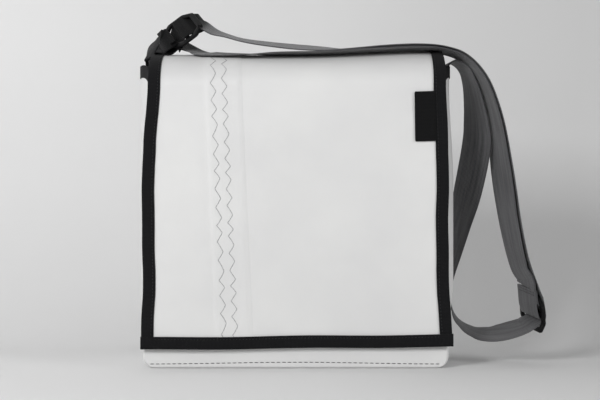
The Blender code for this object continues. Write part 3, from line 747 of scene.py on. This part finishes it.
def panel_grid(side, first, last):
    """Across, along and lift of one lapped panel between two distances along the flap. The left
    panel steps up onto the right one over a few millimetres."""
    rows = int((last - first) / PANEL_STEP)
    along = first + (last - first) * stretched(rows, 0, 1)[:, None]
    if side < 0:
        lap = lap_edge(along)
        low = TAPE_FOLD - flap_edge(side, along)
        columns = np.concatenate([stretched(26, 0, 0.62), stretched(13, 0.62, 0.78)[1:],
                                  stretched(14, 0.78, 1)[1:]])
        across = low + (lap + LAP_WIDTH - low) * columns
        lift = (CLOTH + LAP_ROOM) * soft_step(across, lap - LAP_JOGGLE, lap)
        lift = lift - LAP_SINK * soft_step(across, lap + LAP_WIDTH - LAP_SINK_WIDTH, lap + LAP_WIDTH)
    else:
        start = lap_edge(along) + LAP_START
        high = flap_edge(side, along) - TAPE_FOLD
        across = start + (high - start) * stretched(64, 0, 1)
        lift = np.zeros_like(across)
    return across, along, lift


def build_flap_panel(name, side, first, last, nodes, finish, reaches_end):
    """One of the flap's four pieces of cloth. The front ones reach to the flap's wavy end."""
    across, along, lift = panel_grid(side, first, last)
    if reaches_end:
        along = first + (along - first) / (last - first) * (flap_end(across) - first)
    along = np.broadcast_to(along, across.shape)
    outer, inner = (flap_point(across, along, lift + half) for half in (CLOTH / 2, -CLOTH / 2))
    made = slab(name, outer, inner, paired(across, along), finish)
    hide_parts(*nodes)
    return made


def build_edge_binding(name, side, first, last, nodes, finish, reaches_end):
    """Tape folded over one side edge of the flap, with a slight sine wave along it."""
    section, width = folded_section(CLOTH / 2 + TAPE_ROOM)
    along = stretched(int((last - first) / PANEL_STEP), first, last)[:, None]
    if reaches_end:
        ends = flap_end(side * 0.157)
        along = first + (along - first) / (last - first) * (ends - END_ROOM - first)
    edge = flap_edge(side, along) - TAPE_FOLD
    across = side * (edge + section[:, 0])
    across = across + side * 0.00025 * np.sin(along * 95)
    points = flap_point(across, along, section[:, 1])
    made = tube(name, points, paired(width, along), finish)
    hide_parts(*nodes)
    return made


def build_bottom_binding(finish):
    """Tape folded over the flap's bottom edge, its ends lapped over the side tapes."""
    section, width = folded_section(CLOTH / 2 + TAPE_ROOM)
    section = section * [1, BOTTOM_TAPE_SWELL]
    edge_left, edge_right = (float(flap_edge(side, flap_end(side * 0.16))) for side in (-1, 1))
    across = stretched(110, -edge_left - END_ROOM, edge_right + END_ROOM)[:, None]
    points = flap_point(across, flap_end(across) + section[:, 0], section[:, 1])
    made = tube("flap_bottom_binding", points, paired(width, across), finish)
    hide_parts("flap_bottom_tape")
    return made


def binding_stitches(finish):
    """Lock stitches along the flap's binding, 2.6 mm from its inner edge."""
    inset, off = TAPE_REACH - 0.0026, CLOTH / 2 + TAPE_ROOM + TAPE
    start, front_length, half_bottom = 0.012, 0.268, 0.150
    made = {"top": [], "front": []}

    def sew(word, name, path):
        """Sews one row along a path, for the part of the flap that the word names."""
        starts, ends = evenly(path, STITCH_PITCH)
        outs = outward_at(starts)
        row = stitches(f"binding_stitches_{name}", starts, ends, outs, STITCH_RADIUS, finish)
        made[word].append(row)

    for side, hand in ((-1, "left"), (1, "right")):
        for word, first, last in (("top", start, CREST_S),
                                  ("front", CREST_S, FRONT_S + front_length)):
            along = stretched(240, first, last)
            across = side * (flap_edge(side, along) - TAPE_FOLD - inset)
            sew(word, f"{hand}_{word}", flap_point(across, along, off))
    across = stretched(240, -half_bottom, half_bottom)
    sunk = off * BOTTOM_TAPE_SWELL - 0.0002
    sew("front", "bottom", flap_point(across, flap_end(across) - inset, sunk))
    return made


def outward_at(places):
    """The direction that the flap faces at places near it: square to its half ellipse over the
    top, and straight forward or back below."""
    depth = places[:, 1] / FLAP_BACK ** 2
    height = np.clip(places[:, 2] - DOME_BASE, 0, None) / DOME_RISE ** 2
    return unit(np.stack([0 * depth, depth, height], -1))


def zigzag_row(name, offset, leg, first, last, phase, finish):
    """One row of three-step zigzag: a thread that runs from side to side of the row, and dips
    into the cloth three times on each leg. Its legs are a little uneven, as the cloth was fed:
    two sine waves carry its turns forward and back."""
    half_width, radius, step = 0.0029, 0.00030, 0.0006
    along = stretched(int((last - first) / step), first, last)
    turn = (along - phase) / leg + 0.13 * np.sin(along * 97) + 0.08 * np.sin(along * 211 + 1)
    swing = np.abs((turn % 2) - 1) * 2 - 1
    bend = 0.12 * np.sin(turn * math.pi) * np.where(turn % 2 < 1, 1, -1)
    across = lap_edge(along) + offset + half_width * (swing + bend)
    dip = np.abs(np.sin(turn * 3 * math.pi))
    lift = CLOTH * 1.5 + 0.0003 + radius * (2.2 * np.sqrt(dip) - 1.6)
    path = flap_point(across, along, lift)
    ahead = unit(np.gradient(path, axis=0))
    out = outward_at(path)
    side = unit(np.cross(ahead, out))
    angle = (np.arange(6) / 6 * 2 * math.pi)[:, None]
    ring = side[:, None] * np.cos(angle) + out[:, None] * np.sin(angle)
    points = path[:, None] + ring * radius
    return tube(name, points, paired(np.zeros(6), along[:, None]), finish, sharp=70)


def build_label(finish):
    """A bare woven tab: a folded piece of tape with soft corners, a hair out of square, tucked
    in beside the binding."""
    v, u = stretched(34, 0, 1)[:, None], stretched(20, 0, 1)
    from_end = np.minimum(v, 1 - v) * LABEL_LENGTH
    left = LABEL_LEFT + rounded_edge(from_end, LABEL_CORNER) / 2
    height = LABEL_TOP - LABEL_HEIGHT * v + 0.0007 * (u - 0.5)
    across = left + (LABEL_LEFT + LABEL_WIDTH - left) * u + 0.0008 * (v - 0.5)
    along = FRONT_S + DOME_BASE - height
    lift = CLOTH / 2 + 0.0006 + 0.0008 * soft_step(u, 0.72, 0.92) + 0.0003 * np.sin(v * 7) * (1 - u)
    outer, inner = (flap_point(across, along, lift + more) for more in (LABEL_THICKNESS, 0))
    made = slab("label_tab_bare", outer, inner, paired(across, height), finish)
    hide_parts("label_tab")
    return made


def build_fastener(name, node, body, face_y, depth, out, finish):
    """A strip of hook-and-loop tape in its solid's place. Its edges draw in at the corners, as
    the twelfth power of the distance from the middle, and its pile is fine bumps, the product
    of two sines."""
    low, high = (np.array(corner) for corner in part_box(node))
    v, u = stretched(16, -1, 1)[:, None], stretched(40, -1, 1)
    half = (high - low) / 2
    middle = (high + low) / 2
    across = middle[0] + half[0] * u * (1 - 0.03 * np.abs(v) ** 12)
    height = middle[2] + half[2] * v * (1 - 0.08 * np.abs(u) ** 12)
    nap = 0.00012 * np.sin(across * 2300) * np.sin(height * 2100)
    outer = np.stack([across, face_y + out * nap, height], -1)
    inner = np.stack([across, np.full_like(across, face_y + depth), height], -1)
    made = slab(name, outer, inner, paired(across, height), finish)
    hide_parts(node)
    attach(made, body)


# ---------------------------------------------------------------- strap and its plastics

# The strap's free runs, in knots: x, y and z of its middle line, and the flare, which is how
# far the front edge tips outward. ARCH is the loop from the right side to the adjuster, DROP the
# doubled run beside it, UPPER and LOWER the two layers over the top, TAB the ring's tab.
ARCH = [
    (0.1602, 0.012, 0.3190, -0.16), (0.1650, 0.012, 0.3262, -0.06), (0.1730, 0.013, 0.3285, 0.00),
    (0.1840, 0.014, 0.3205, 0.10), (0.1905, 0.016, 0.3050, 0.20), (0.1947, 0.018, 0.2850, 0.32),
    (0.1978, 0.020, 0.2620, 0.46), (0.1982, 0.022, 0.2360, 0.57), (0.1906, 0.031, 0.1900, 0.56),
    (0.1818, 0.040, 0.1520, 0.45), (0.1745, 0.046, 0.1200, 0.35), (0.1695, 0.048, 0.0920, 0.20),
    (0.1702, 0.045, 0.0680, 0.04), (0.1775, 0.039, 0.0470, -0.10), (0.1895, 0.031, 0.0357, -0.15),
    (0.2025, 0.023, 0.0312, -0.19), (0.2150, 0.015, 0.0310, -0.23), (0.2300, 0.006, 0.0340, -0.25)]
DROP = [
    (0.0900, -0.0170, 0.3394, 0.02), (0.1200, -0.0170, 0.3410, 0.02),
    (0.1450, -0.0170, 0.3404, 0.02), (0.1620, -0.0170, 0.3375, 0.02),
    (0.1765, -0.0160, 0.3322, 0.03), (0.1900, -0.0130, 0.3210, 0.07),
    (0.2008, -0.0100, 0.3055, 0.12), (0.2098, -0.0070, 0.2845, 0.14),
    (0.2170, -0.0040, 0.2565, 0.20), (0.2226, -0.0010, 0.2170, 0.30),
    (0.2268, 0.0000, 0.1880, 0.32), (0.2320, 0.0000, 0.1550, 0.29),
    (0.2380, -0.0010, 0.1250, 0.26), (0.2436, -0.0030, 0.1040, 0.24)]
UPPER = [
    (-0.1018, 0.0010, 0.3676, -0.27), (-0.0890, 0.0010, 0.3596, -0.24),
    (-0.0730, -0.0030, 0.3545, -0.17), (-0.0520, -0.0080, 0.3492, -0.19),
    (-0.0250, -0.0120, 0.3450, -0.21), (0.0030, -0.0140, 0.3420, -0.22),
    (0.0300, -0.0160, 0.3402, -0.18), (0.0600, -0.0170, 0.3396, -0.06)]
LOWER = [
    (-0.1090, -0.0020, 0.3386, -0.20), (-0.0913, -0.0090, 0.3353, -0.18),
    (-0.0500, -0.0150, 0.3343, -0.11), (-0.0200, -0.0170, 0.3344, -0.02),
    (0.0200, -0.0170, 0.3348, 0.00), (0.0600, -0.0170, 0.3368, 0.01)]
TAB = [
    (-0.1598, 0.0120, 0.3185, 0.16), (-0.1634, 0.0105, 0.3290, -0.06),
    (-0.1618, 0.0070, 0.3372, -0.20), (-0.1562, 0.0030, 0.3418, -0.40),
    (-0.1488, -0.0010, 0.3450, -0.50)]


def buckle_axes(along, across):
    """Unit directions along the strap, across it, and out of the frame toward the front."""
    along, across = unit(np.array(along)), np.array(across)
    across = unit(across - along * (across @ along))
    square = np.cross(along, across)
    return along, across, square if square[1] < 0 else -square


RING = buckle_axes((0.80, 0, 0.60), (0.34, -0.825, -0.453))
ADJUSTER = buckle_axes((0.11, 0.14, -0.98), (0.26, -0.95, -0.13))


def hand_route(rows):
    """Knots of place and across direction, where the flare tips the front edge outward."""
    rows = np.array(rows)
    place, flare = rows[:, :3], rows[:, 3:]
    at = np.arange(len(rows))
    ahead = place[np.minimum(at + 1, len(rows) - 1)] - place[np.maximum(at - 1, 0)]
    outward = unit(np.stack([-ahead[:, 2], 0 * at, ahead[:, 0]], -1))
    across = outward * flare + np.array([0, -1, 0]) * np.sqrt(1 - flare ** 2)
    return np.hstack([place, across])


def squared(knots):
    """Places, along, across and face directions, all square to each other."""
    place, across = knots[:, :3], knots[:, 3:6]
    at = np.arange(len(knots))
    ahead = unit(place[np.minimum(at + 1, len(knots) - 1)] - place[np.maximum(at - 1, 0)])
    across = unit(across - ahead * (across * ahead).sum(-1, keepdims=True))
    return place, ahead, across, np.cross(across, ahead)


def shifted(knots, offset):
    """The same run, moved along the direction that the webbing faces."""
    place, _, _, face = squared(knots)
    return np.hstack([place + face * offset, knots[:, 3:]])


def buckle_knots(centre, axes, spots):
    """Knots inside a buckle, from spots along its strap and off its middle plane."""
    along, across, square = axes
    return np.array([[*(centre + along * f + square * o), *across] for f, o in spots])


def round_bar(bar, side, start):
    """Five spots on a half circle round one side of a bar, from its face start to the other."""
    angle = math.pi / 4 * np.arange(5)
    return list(zip(bar + side * (BAR_TURN + LEVEL * np.sin(angle)), start * LEVEL * np.cos(angle)))


def smooth_run(knots):
    """A Catmull-Rom curve through the knots at even steps, and the station of each knot."""
    padded = np.vstack([2 * knots[0] - knots[1], knots, 2 * knots[-1] - knots[-2]])
    run, marks = [], []
    for before, start, end, after in zip(padded, padded[1:], padded[2:], padded[3:]):
        marks.append(sum(map(len, run)))
        count = max(2, round(np.linalg.norm(end[:3] - start[:3]) / STATION_STEP))
        t = (np.arange(count) / count)[:, None]
        bend = 2 * before - 5 * start + 4 * end - after
        twist = 3 * start - before - 3 * end + after
        run.append(start + ((end - before) * t + bend * t ** 2 + twist * t ** 3) / 2)
    marks.append(sum(map(len, run)))
    place, _, across, face = squared(np.vstack(run + [knots[-1:]]))
    return np.hstack([place, across, face]), marks


def belt(name, stations, start_length, finish):
    """Webbing: a flat section with rounded edges, carried along the stations. The section's
    two faces are even, and thin to nothing over the last few millimetres at each edge. Near the
    ring the webbing carries a mask of painted shade, which its material paints near black, and
    spreads a little."""
    place, across, face = stations[:, :3], stations[:, 3:6], stations[:, 6:9]
    reach = np.array([-1, -0.992, -0.96, -0.88, -0.5, 0, 0.5, 0.88, 0.96, 0.992])
    depth = np.array([0, 0.62, 0.95, 1, 1, 1, 1, 1, 0.95, 0.62])
    reach, depth = np.concatenate([reach, -reach]), np.concatenate([depth, -depth])
    distance = np.linalg.norm(place - RING_CENTRE, axis=1)
    # Painted shade: points near the ring are marked, and the material paints them near black; the
    # same mark widens the webbing.
    ring_shade = 1 - soft_step(distance, RING_SHADE_FROM, RING_SHADE_TO)
    half_width = STRAP_WIDTH / 2 * (1 + RING_SPREAD * ring_shade)
    points = (place[:, None] + across[:, None] * (half_width[:, None] * reach)[..., None]
              + face[:, None] * (depth * STRAP_THICKNESS / 2)[:, None])
    flat = paired(reach * STRAP_WIDTH / 2, start_length + travelled(place)[:, None])
    made = tube(name, points, flat, finish, sharp=60)
    shade_layer = made.data.attributes.new("ring_shade", "FLOAT", "POINT").data
    shade_layer.foreach_set("value", np.repeat(ring_shade, points.shape[1]))
    return made


def sewn_end(side):
    """The webbing's end inside a side of the bag, slanted to lie along the bulge."""
    slant, depth = 0.18, 0.012
    across = unit(np.array([side * slant, -1, 0]))
    middle = SEWN_RIGHT if side > 0 else SEWN_LEFT
    return np.array([[side * middle, depth, height, *across] for height in SEWN_HEIGHTS])


def strap_knots():
    """The strap as one run: sewn in the right gusset, round the loop, through the adjuster, up
    and over, round the ring and back down to the adjuster. The second value is the number of
    the first knot of each of its nine parts, and of the end."""
    entry = [(BAR_PITCH - BAR / 2, 3 * SECOND), (BAR_PITCH / 2 + BAR_TURN, SECOND),
             (BAR_PITCH / 2, -LEVEL / 2), (BAR_PITCH / 4, -SECOND),
             (-BAR / 2, -SECOND - BAR_ROOM), (-BAR_PITCH, -LEVEL - BAR_ROOM),
             (-BUCKLE_END, -LEVEL / 4)]
    slot_b = [(BAR_PITCH + BAR_TURN, -LEVEL - BAR_ROOM),
              (BAR_PITCH - BAR / 2, -LEVEL), (BAR_PITCH / 2 + BAR_TURN, -LEVEL / 2),
              (BAR_PITCH / 2 - BAR_TURN, LEVEL / 2), (BAR / 2, LEVEL)]
    slot_a = round_bar(0, -1, 1)[:3] + [(-1.5 * BAR, -LEVEL), (-2.1 * BAR, -2.4 * LEVEL)]
    drop = hand_route(DROP)
    apart = np.interp(np.arange(len(DROP)), (0, 6, 12), HALF_APART)[:, None]
    inner_end = [(-BUCKLE_END - BAR_PITCH / 2, SECOND), (-BUCKLE_END - STRAP_THICKNESS, SECOND)]
    parts = [sewn_end(1), hand_route(ARCH), buckle_knots(ADJUSTER_CENTRE, ADJUSTER, entry),
             shifted(drop, apart)[::-1], hand_route(UPPER)[::-1],
             buckle_knots(RING_CENTRE, RING, slot_b + slot_a), hand_route(LOWER),
             shifted(drop, -apart), buckle_knots(ADJUSTER_CENTRE, ADJUSTER, inner_end)]
    first = np.cumsum([0] + [len(part) for part in parts])
    return np.vstack(parts), first


def build_strap(finish):
    """The strap's one run of webbing, cut where its bodies meet. Each piece ends at a knot, given
    as the number of a part of the run and how many knots it lies past that part's first."""
    knots, first = strap_knots()
    stations, marks = smooth_run(knots)
    piece_ends = {"loop": (2, 0), "adjuster": (3, 0), "outer_run": (3, 3), "outer_top": (4, 4),
                  "ring_turn": (5, 6), "ring_return": (6, 2), "inner_top": (8, -4),
                  "inner_run": (9, -1)}
    made, start = {}, 0
    for word, (part, knot) in piece_ends.items():
        end = marks[first[part] + knot]
        made[word] = belt(f"strap_{word}", stations[start:end + 1], start * STATION_STEP, finish)
        start = end
    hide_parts("strap_long_run")
    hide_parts("strap_over_top")
    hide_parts("strap_inner_drop")
    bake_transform(made["loop"])
    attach(made["adjuster"], "adjuster")
    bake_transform(made["outer_run"])
    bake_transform(made["outer_top"])
    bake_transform(made["ring_turn"])
    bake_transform(made["ring_return"])
    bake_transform(made["inner_top"])
    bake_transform(made["inner_run"])


def build_sewn_fold(finish):
    """The strap's end, folded round the adjuster's middle bar."""
    fold = [(-BUCKLE_END, SECOND), (-BAR_PITCH, SECOND), (-BAR, SECOND), *round_bar(0, 1, 1),
            (-BAR / 2, -LEVEL), (-BAR - BAR_TURN, 0), (-BAR_PITCH + BAR / 2, LEVEL),
            (-BUCKLE_END, LEVEL)]
    fold_run, _ = smooth_run(buckle_knots(ADJUSTER_CENTRE, ADJUSTER, fold))
    end_fold = belt("strap_sewn_fold", fold_run, 0, finish)
    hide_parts("strap_end_fold")
    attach(end_fold, "adjuster")


def build_ring_tab(finish):
    """The short tab that holds the ring: folded round its end bar, and sewn inside the side."""
    tab_route = hand_route(TAB)
    around = [(-BUCKLE_END, -LEVEL), *round_bar(-BAR_PITCH, 1, -1), (-BUCKLE_END, LEVEL + BAR_ROOM)]
    tab_knots = np.vstack([tab_route, buckle_knots(RING_CENTRE, RING, around),
                           shifted(tab_route, TAB_APART)[::-1]])
    tab_run, _ = smooth_run(tab_knots)
    tab = belt("tab_of_the_ring", tab_run, 0, finish)
    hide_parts("left_tab")
    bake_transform(tab)
    anchor_run, _ = smooth_run(sewn_end(-1))
    anchor = belt("tab_sewn_end", anchor_run, 0, finish)
    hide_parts("left_tab_sewn_end")
    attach(anchor, "bag")


def build_end_stitches(thread):
    """Two rows across the strap's end, which sew its fold down beside the adjuster."""
    along, across, square = ADJUSTER
    half_row, pitch, radius = 0.0205, 0.0032, 0.00032
    rows = []
    for from_end in (0.0022, 0.0052):
        middle = along * (from_end - BUCKLE_END) + square * (SECOND + STRAP_THICKNESS / 2)
        ends_of_row = [ADJUSTER_CENTRE + middle + across * half_row * side for side in (-1, 1)]
        rows.append(evenly(np.array(ends_of_row), pitch))
    starts, ends = (np.vstack([row[k] for row in rows]) for k in (0, 1))
    outs = np.tile(square, (len(starts), 1))
    sewn = stitches("strap_end_stitches", starts, ends, outs, radius, thread)
    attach(sewn, "adjuster")


def build_buckle(name, node, body, centre, axes, finish):
    """Moulded three-bar buckle: an eight-sided frame and a middle bar. The frame's section is a
    superellipse, carried round the outline, whose corners are softened by Bezier curves. The bar
    is the same section straight, with a fine cosine ripple."""
    along, across, square = axes
    half_w, half_l, cut = BUCKLE_WIDTH / 2, BUCKLE_LENGTH / 2, BUCKLE_CUT
    corners = np.array([(half_l, half_w - cut), (half_l - cut, half_w), (cut - half_l, half_w),
                        (-half_l, half_w - cut), (-half_l, cut - half_w), (cut - half_l, -half_w),
                        (half_l - cut, -half_w), (half_l, cut - half_w)])
    ahead, behind = np.roll(corners, -1, axis=0), np.roll(corners, 1, axis=0)
    t = stretched(5, 0, 1)[None, :, None]
    into = corners + unit(behind - corners) * BUCKLE_SOFT
    out = corners + unit(ahead - corners) * BUCKLE_SOFT
    outline = ((1 - t) ** 2 * into[:, None] + 2 * t * (1 - t) * corners[:, None]
               + t ** 2 * out[:, None]).reshape(-1, 2)
    run = np.roll(outline, -1, axis=0) - np.roll(outline, 1, axis=0)
    outward = unit(np.stack([run[:, 1], -run[:, 0]], -1))
    outward = outward * np.sign((outward * outline).sum(-1, keepdims=True))
    steep = np.abs(outward[:, 1:])
    width = BAR + (SIDE_ARM - BAR) * soft_step(steep, 0.2, 0.9)
    angle = np.arange(16) / 16 * 2 * math.pi
    su, sv = (np.sign(wave) * np.abs(wave) ** BUCKLE_SQUARENESS / 2
              for wave in (np.cos(angle)[:, None], np.sin(angle)[:, None]))
    spots = outline[:, None] - outward[:, None] * (width[:, None] * (0.5 - su))
    frame_points = (centre + along * spots[..., :1] + across * spots[..., 1:]
                    + square * (sv * BUCKLE_THICKNESS))
    reach = stretched(26, -(half_w - 0.002), half_w - 0.002)[:, None, None]
    bar_width = BAR * (0.94 + 0.06 * np.cos(reach * 1400))
    bar_points = (centre + along * (su * bar_width) + across * reach
                  + square * (sv * BUCKLE_THICKNESS * 0.94))
    faces = tube_faces(len(outline), len(angle), closed=True)
    faces += [face + len(outline) * len(angle) for face in tube_faces(len(reach), len(angle))]
    points = np.concatenate([frame_points.reshape(-1, 3), bar_points.reshape(-1, 3)])
    made = finish_mesh(name, points, faces, np.zeros((len(points), 2)), finish, sharp=50)
    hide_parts(node)
    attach(made, body)


# ---------------------------------------------------------------- stage, light and the bag

def build_stage():
    """Seamless paper: a floor that curves up as a quarter circle into a wall close behind the
    bag. It lies a hair under the bag."""
    wall, turn, reach, under = 0.42, 0.30, 3.0, 0.0004
    angle = stretched(24, 0, math.pi / 2)
    y = np.concatenate([[-reach], wall - turn + turn * np.sin(angle), [wall]])
    z = np.concatenate([[0], turn - turn * np.cos(angle), [reach]]) - under
    x = stretched(2, -reach, reach)
    points = np.stack(np.broadcast_arrays(x, y[:, None], z[:, None]), -1)
    mesh = bpy.data.meshes.new("paper_sweep")
    mesh.from_pydata(points.reshape(-1, 3), [], [tuple(map(int, f)) for f in grid_faces(len(y), 2)])
    mesh.materials.append(paper_backdrop())
    mesh.shade_smooth()
    made = bpy.data.objects.new("paper_sweep", mesh)
    bpy.context.scene.collection.objects.link(made)


def build_light():
    """A strong soft box high at the left front, two weaker ones at the left and the right, and
    a dim even room."""
    world = bpy.data.worlds.new("soft_room")
    bpy.context.scene.world = world
    world.use_nodes = True
    sky = world.node_tree.nodes["Background"]
    sky.inputs["Color"].default_value = (1, 1, 1, 1)
    sky.inputs["Strength"].default_value = 0.22
    area_lamp("key_box", (-0.85, -1.45, 0.85), (0, 0, 0.15), size=0.5, power=20)
    area_lamp("left_wall_box", (-1.4, -0.1, 0.8), (0, 0.4, 0.15), size=0.6, power=4)
    area_lamp("right_fill", (1.1, -0.7, 0.5), (0.17, 0, 0.2), size=0.6, power=6.5)


def build_bag():
    """Every visible piece of the bag, with its finish. Some pieces are attached to a body and the
    rest are left in place.
    """
    cloth = sailcloth()
    tape = grosgrain()
    label = grosgrain("label_tab_satin_woven", "#0B0B0C", "#131314")
    web = belt_webbing()
    # Painted shade: the ring's tab gets near-black, nearly glossless webbing, standing in for the
    # shade its face lies in.
    shaded_web = belt_webbing("webbing_woven_polyester_painted_dark", "#101011", "#19191A", 0.08)
    plastic = moulded_plastic()
    dark_thread = sewing_thread("thread_charcoal_polyester", "#2A2A2C", "#3C3C3E")
    grey_thread = sewing_thread("thread_grey_polyester", "#8A8A8C", "#A6A6A8")
    black_thread = sewing_thread("thread_black_polyester", "#0F0F10", "#1A1A1B")
    loops = fastener_tape("hook_and_loop_loop_pile", 0.9, 0.35)
    hooks = fastener_tape("hook_and_loop_hook_rows", 1.3, 0.45)

    front = build_face_panel("body_front", -1, "front_panel", cloth)
    back = build_face_panel("body_back", 1, "back_panel", cloth)
    strip = build_gusset(cloth)
    rim = build_rim_tape(tape)
    for piece, slot in ((front, "sailcloth"), (back, "sailcloth"), (strip, "sailcloth"),
                        (rim, "edge_tape")):
        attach(piece, "bag")
    for piece in seam_stitches(dark_thread):
        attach(piece, "bag")

    end = FRONT_S + DOME_BASE - FLAP_BOTTOM - TAPE_FOLD
    rear_hinge = ("bag", "flap_top", (0, FLAP_BACK, 0.288), (0, FLAP_BACK, 0.303))
    front_fold = ("flap_top", "flap_front", (0, -0.0405, 0.3235), (0, -0.0530, 0.3060))
    halves = (("rear", 0, CREST_S, ("sewn_edge", "top"), False, rear_hinge),
              ("front", CREST_S, end, ("front",), True, front_fold))
    for word, side in (("left", -1), ("right", 1)):
        for kind, build, solid, finish, slot in (
                ("cloth", build_flap_panel, "panel", cloth, "sailcloth"),
                ("binding", build_edge_binding, "tape", tape, "edge_tape")):
            for half, first, last, parts, reaches_end, rule in halves:
                nodes = [f"flap_{word}_{solid}_{part}" for part in parts]
                name = f"flap_{word}_{kind}_{half}"
                piece = build(name, side, first, last, nodes, finish, reaches_end)
                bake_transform(piece)
    bottom = build_bottom_binding(tape)
    tab = build_label(label)
    for piece in (bottom, tab):
        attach(piece, "flap_front")
    sewn = binding_stitches(black_thread)
    for word, rule in (("top", rear_hinge), ("front", front_fold)):
        for piece in sewn[word]:
            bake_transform(piece)
    for word, offset, leg, phase in (("outer", 0.0046, 0.0094, 0.0098),
                                     ("inner", 0.0164, 0.0084, 0.0055)):
        for part, first, last, rule in (("rear", 0.002, CREST_S, rear_hinge),
                                        ("front", CREST_S, end - TAPE_REACH + 0.001, front_fold)):
            row = zigzag_row(f"zigzag_{word}_{part}", offset, leg, first, last, phase, grey_thread)
            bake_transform(row)

    for word in ("left", "right"):
        build_fastener(f"loop_pile_{word}", f"loop_strip_{word}", "bag",
                       LOOP_FACE, LOOP_DEPTH, -1, loops)
        build_fastener(f"hook_rows_{word}", f"hook_strip_{word}", "flap_front",
                       HOOK_FACE, HOOK_DEPTH, 1, hooks)

    build_strap(web)
    build_sewn_fold(web)
    # The tab's webbing is painted near black, as painted shade.
    build_ring_tab(shaded_web)
    build_end_stitches(black_thread)
    build_buckle("ring_moulded", "strap_ring", "ring", RING_CENTRE, RING, plastic)
    build_buckle("adjuster_moulded", "strap_adjuster", "adjuster", ADJUSTER_CENTRE, ADJUSTER, plastic)


bpy.context.scene.view_settings.view_transform = "Standard"
build_camera()
build_stage()
build_light()
build_bag()
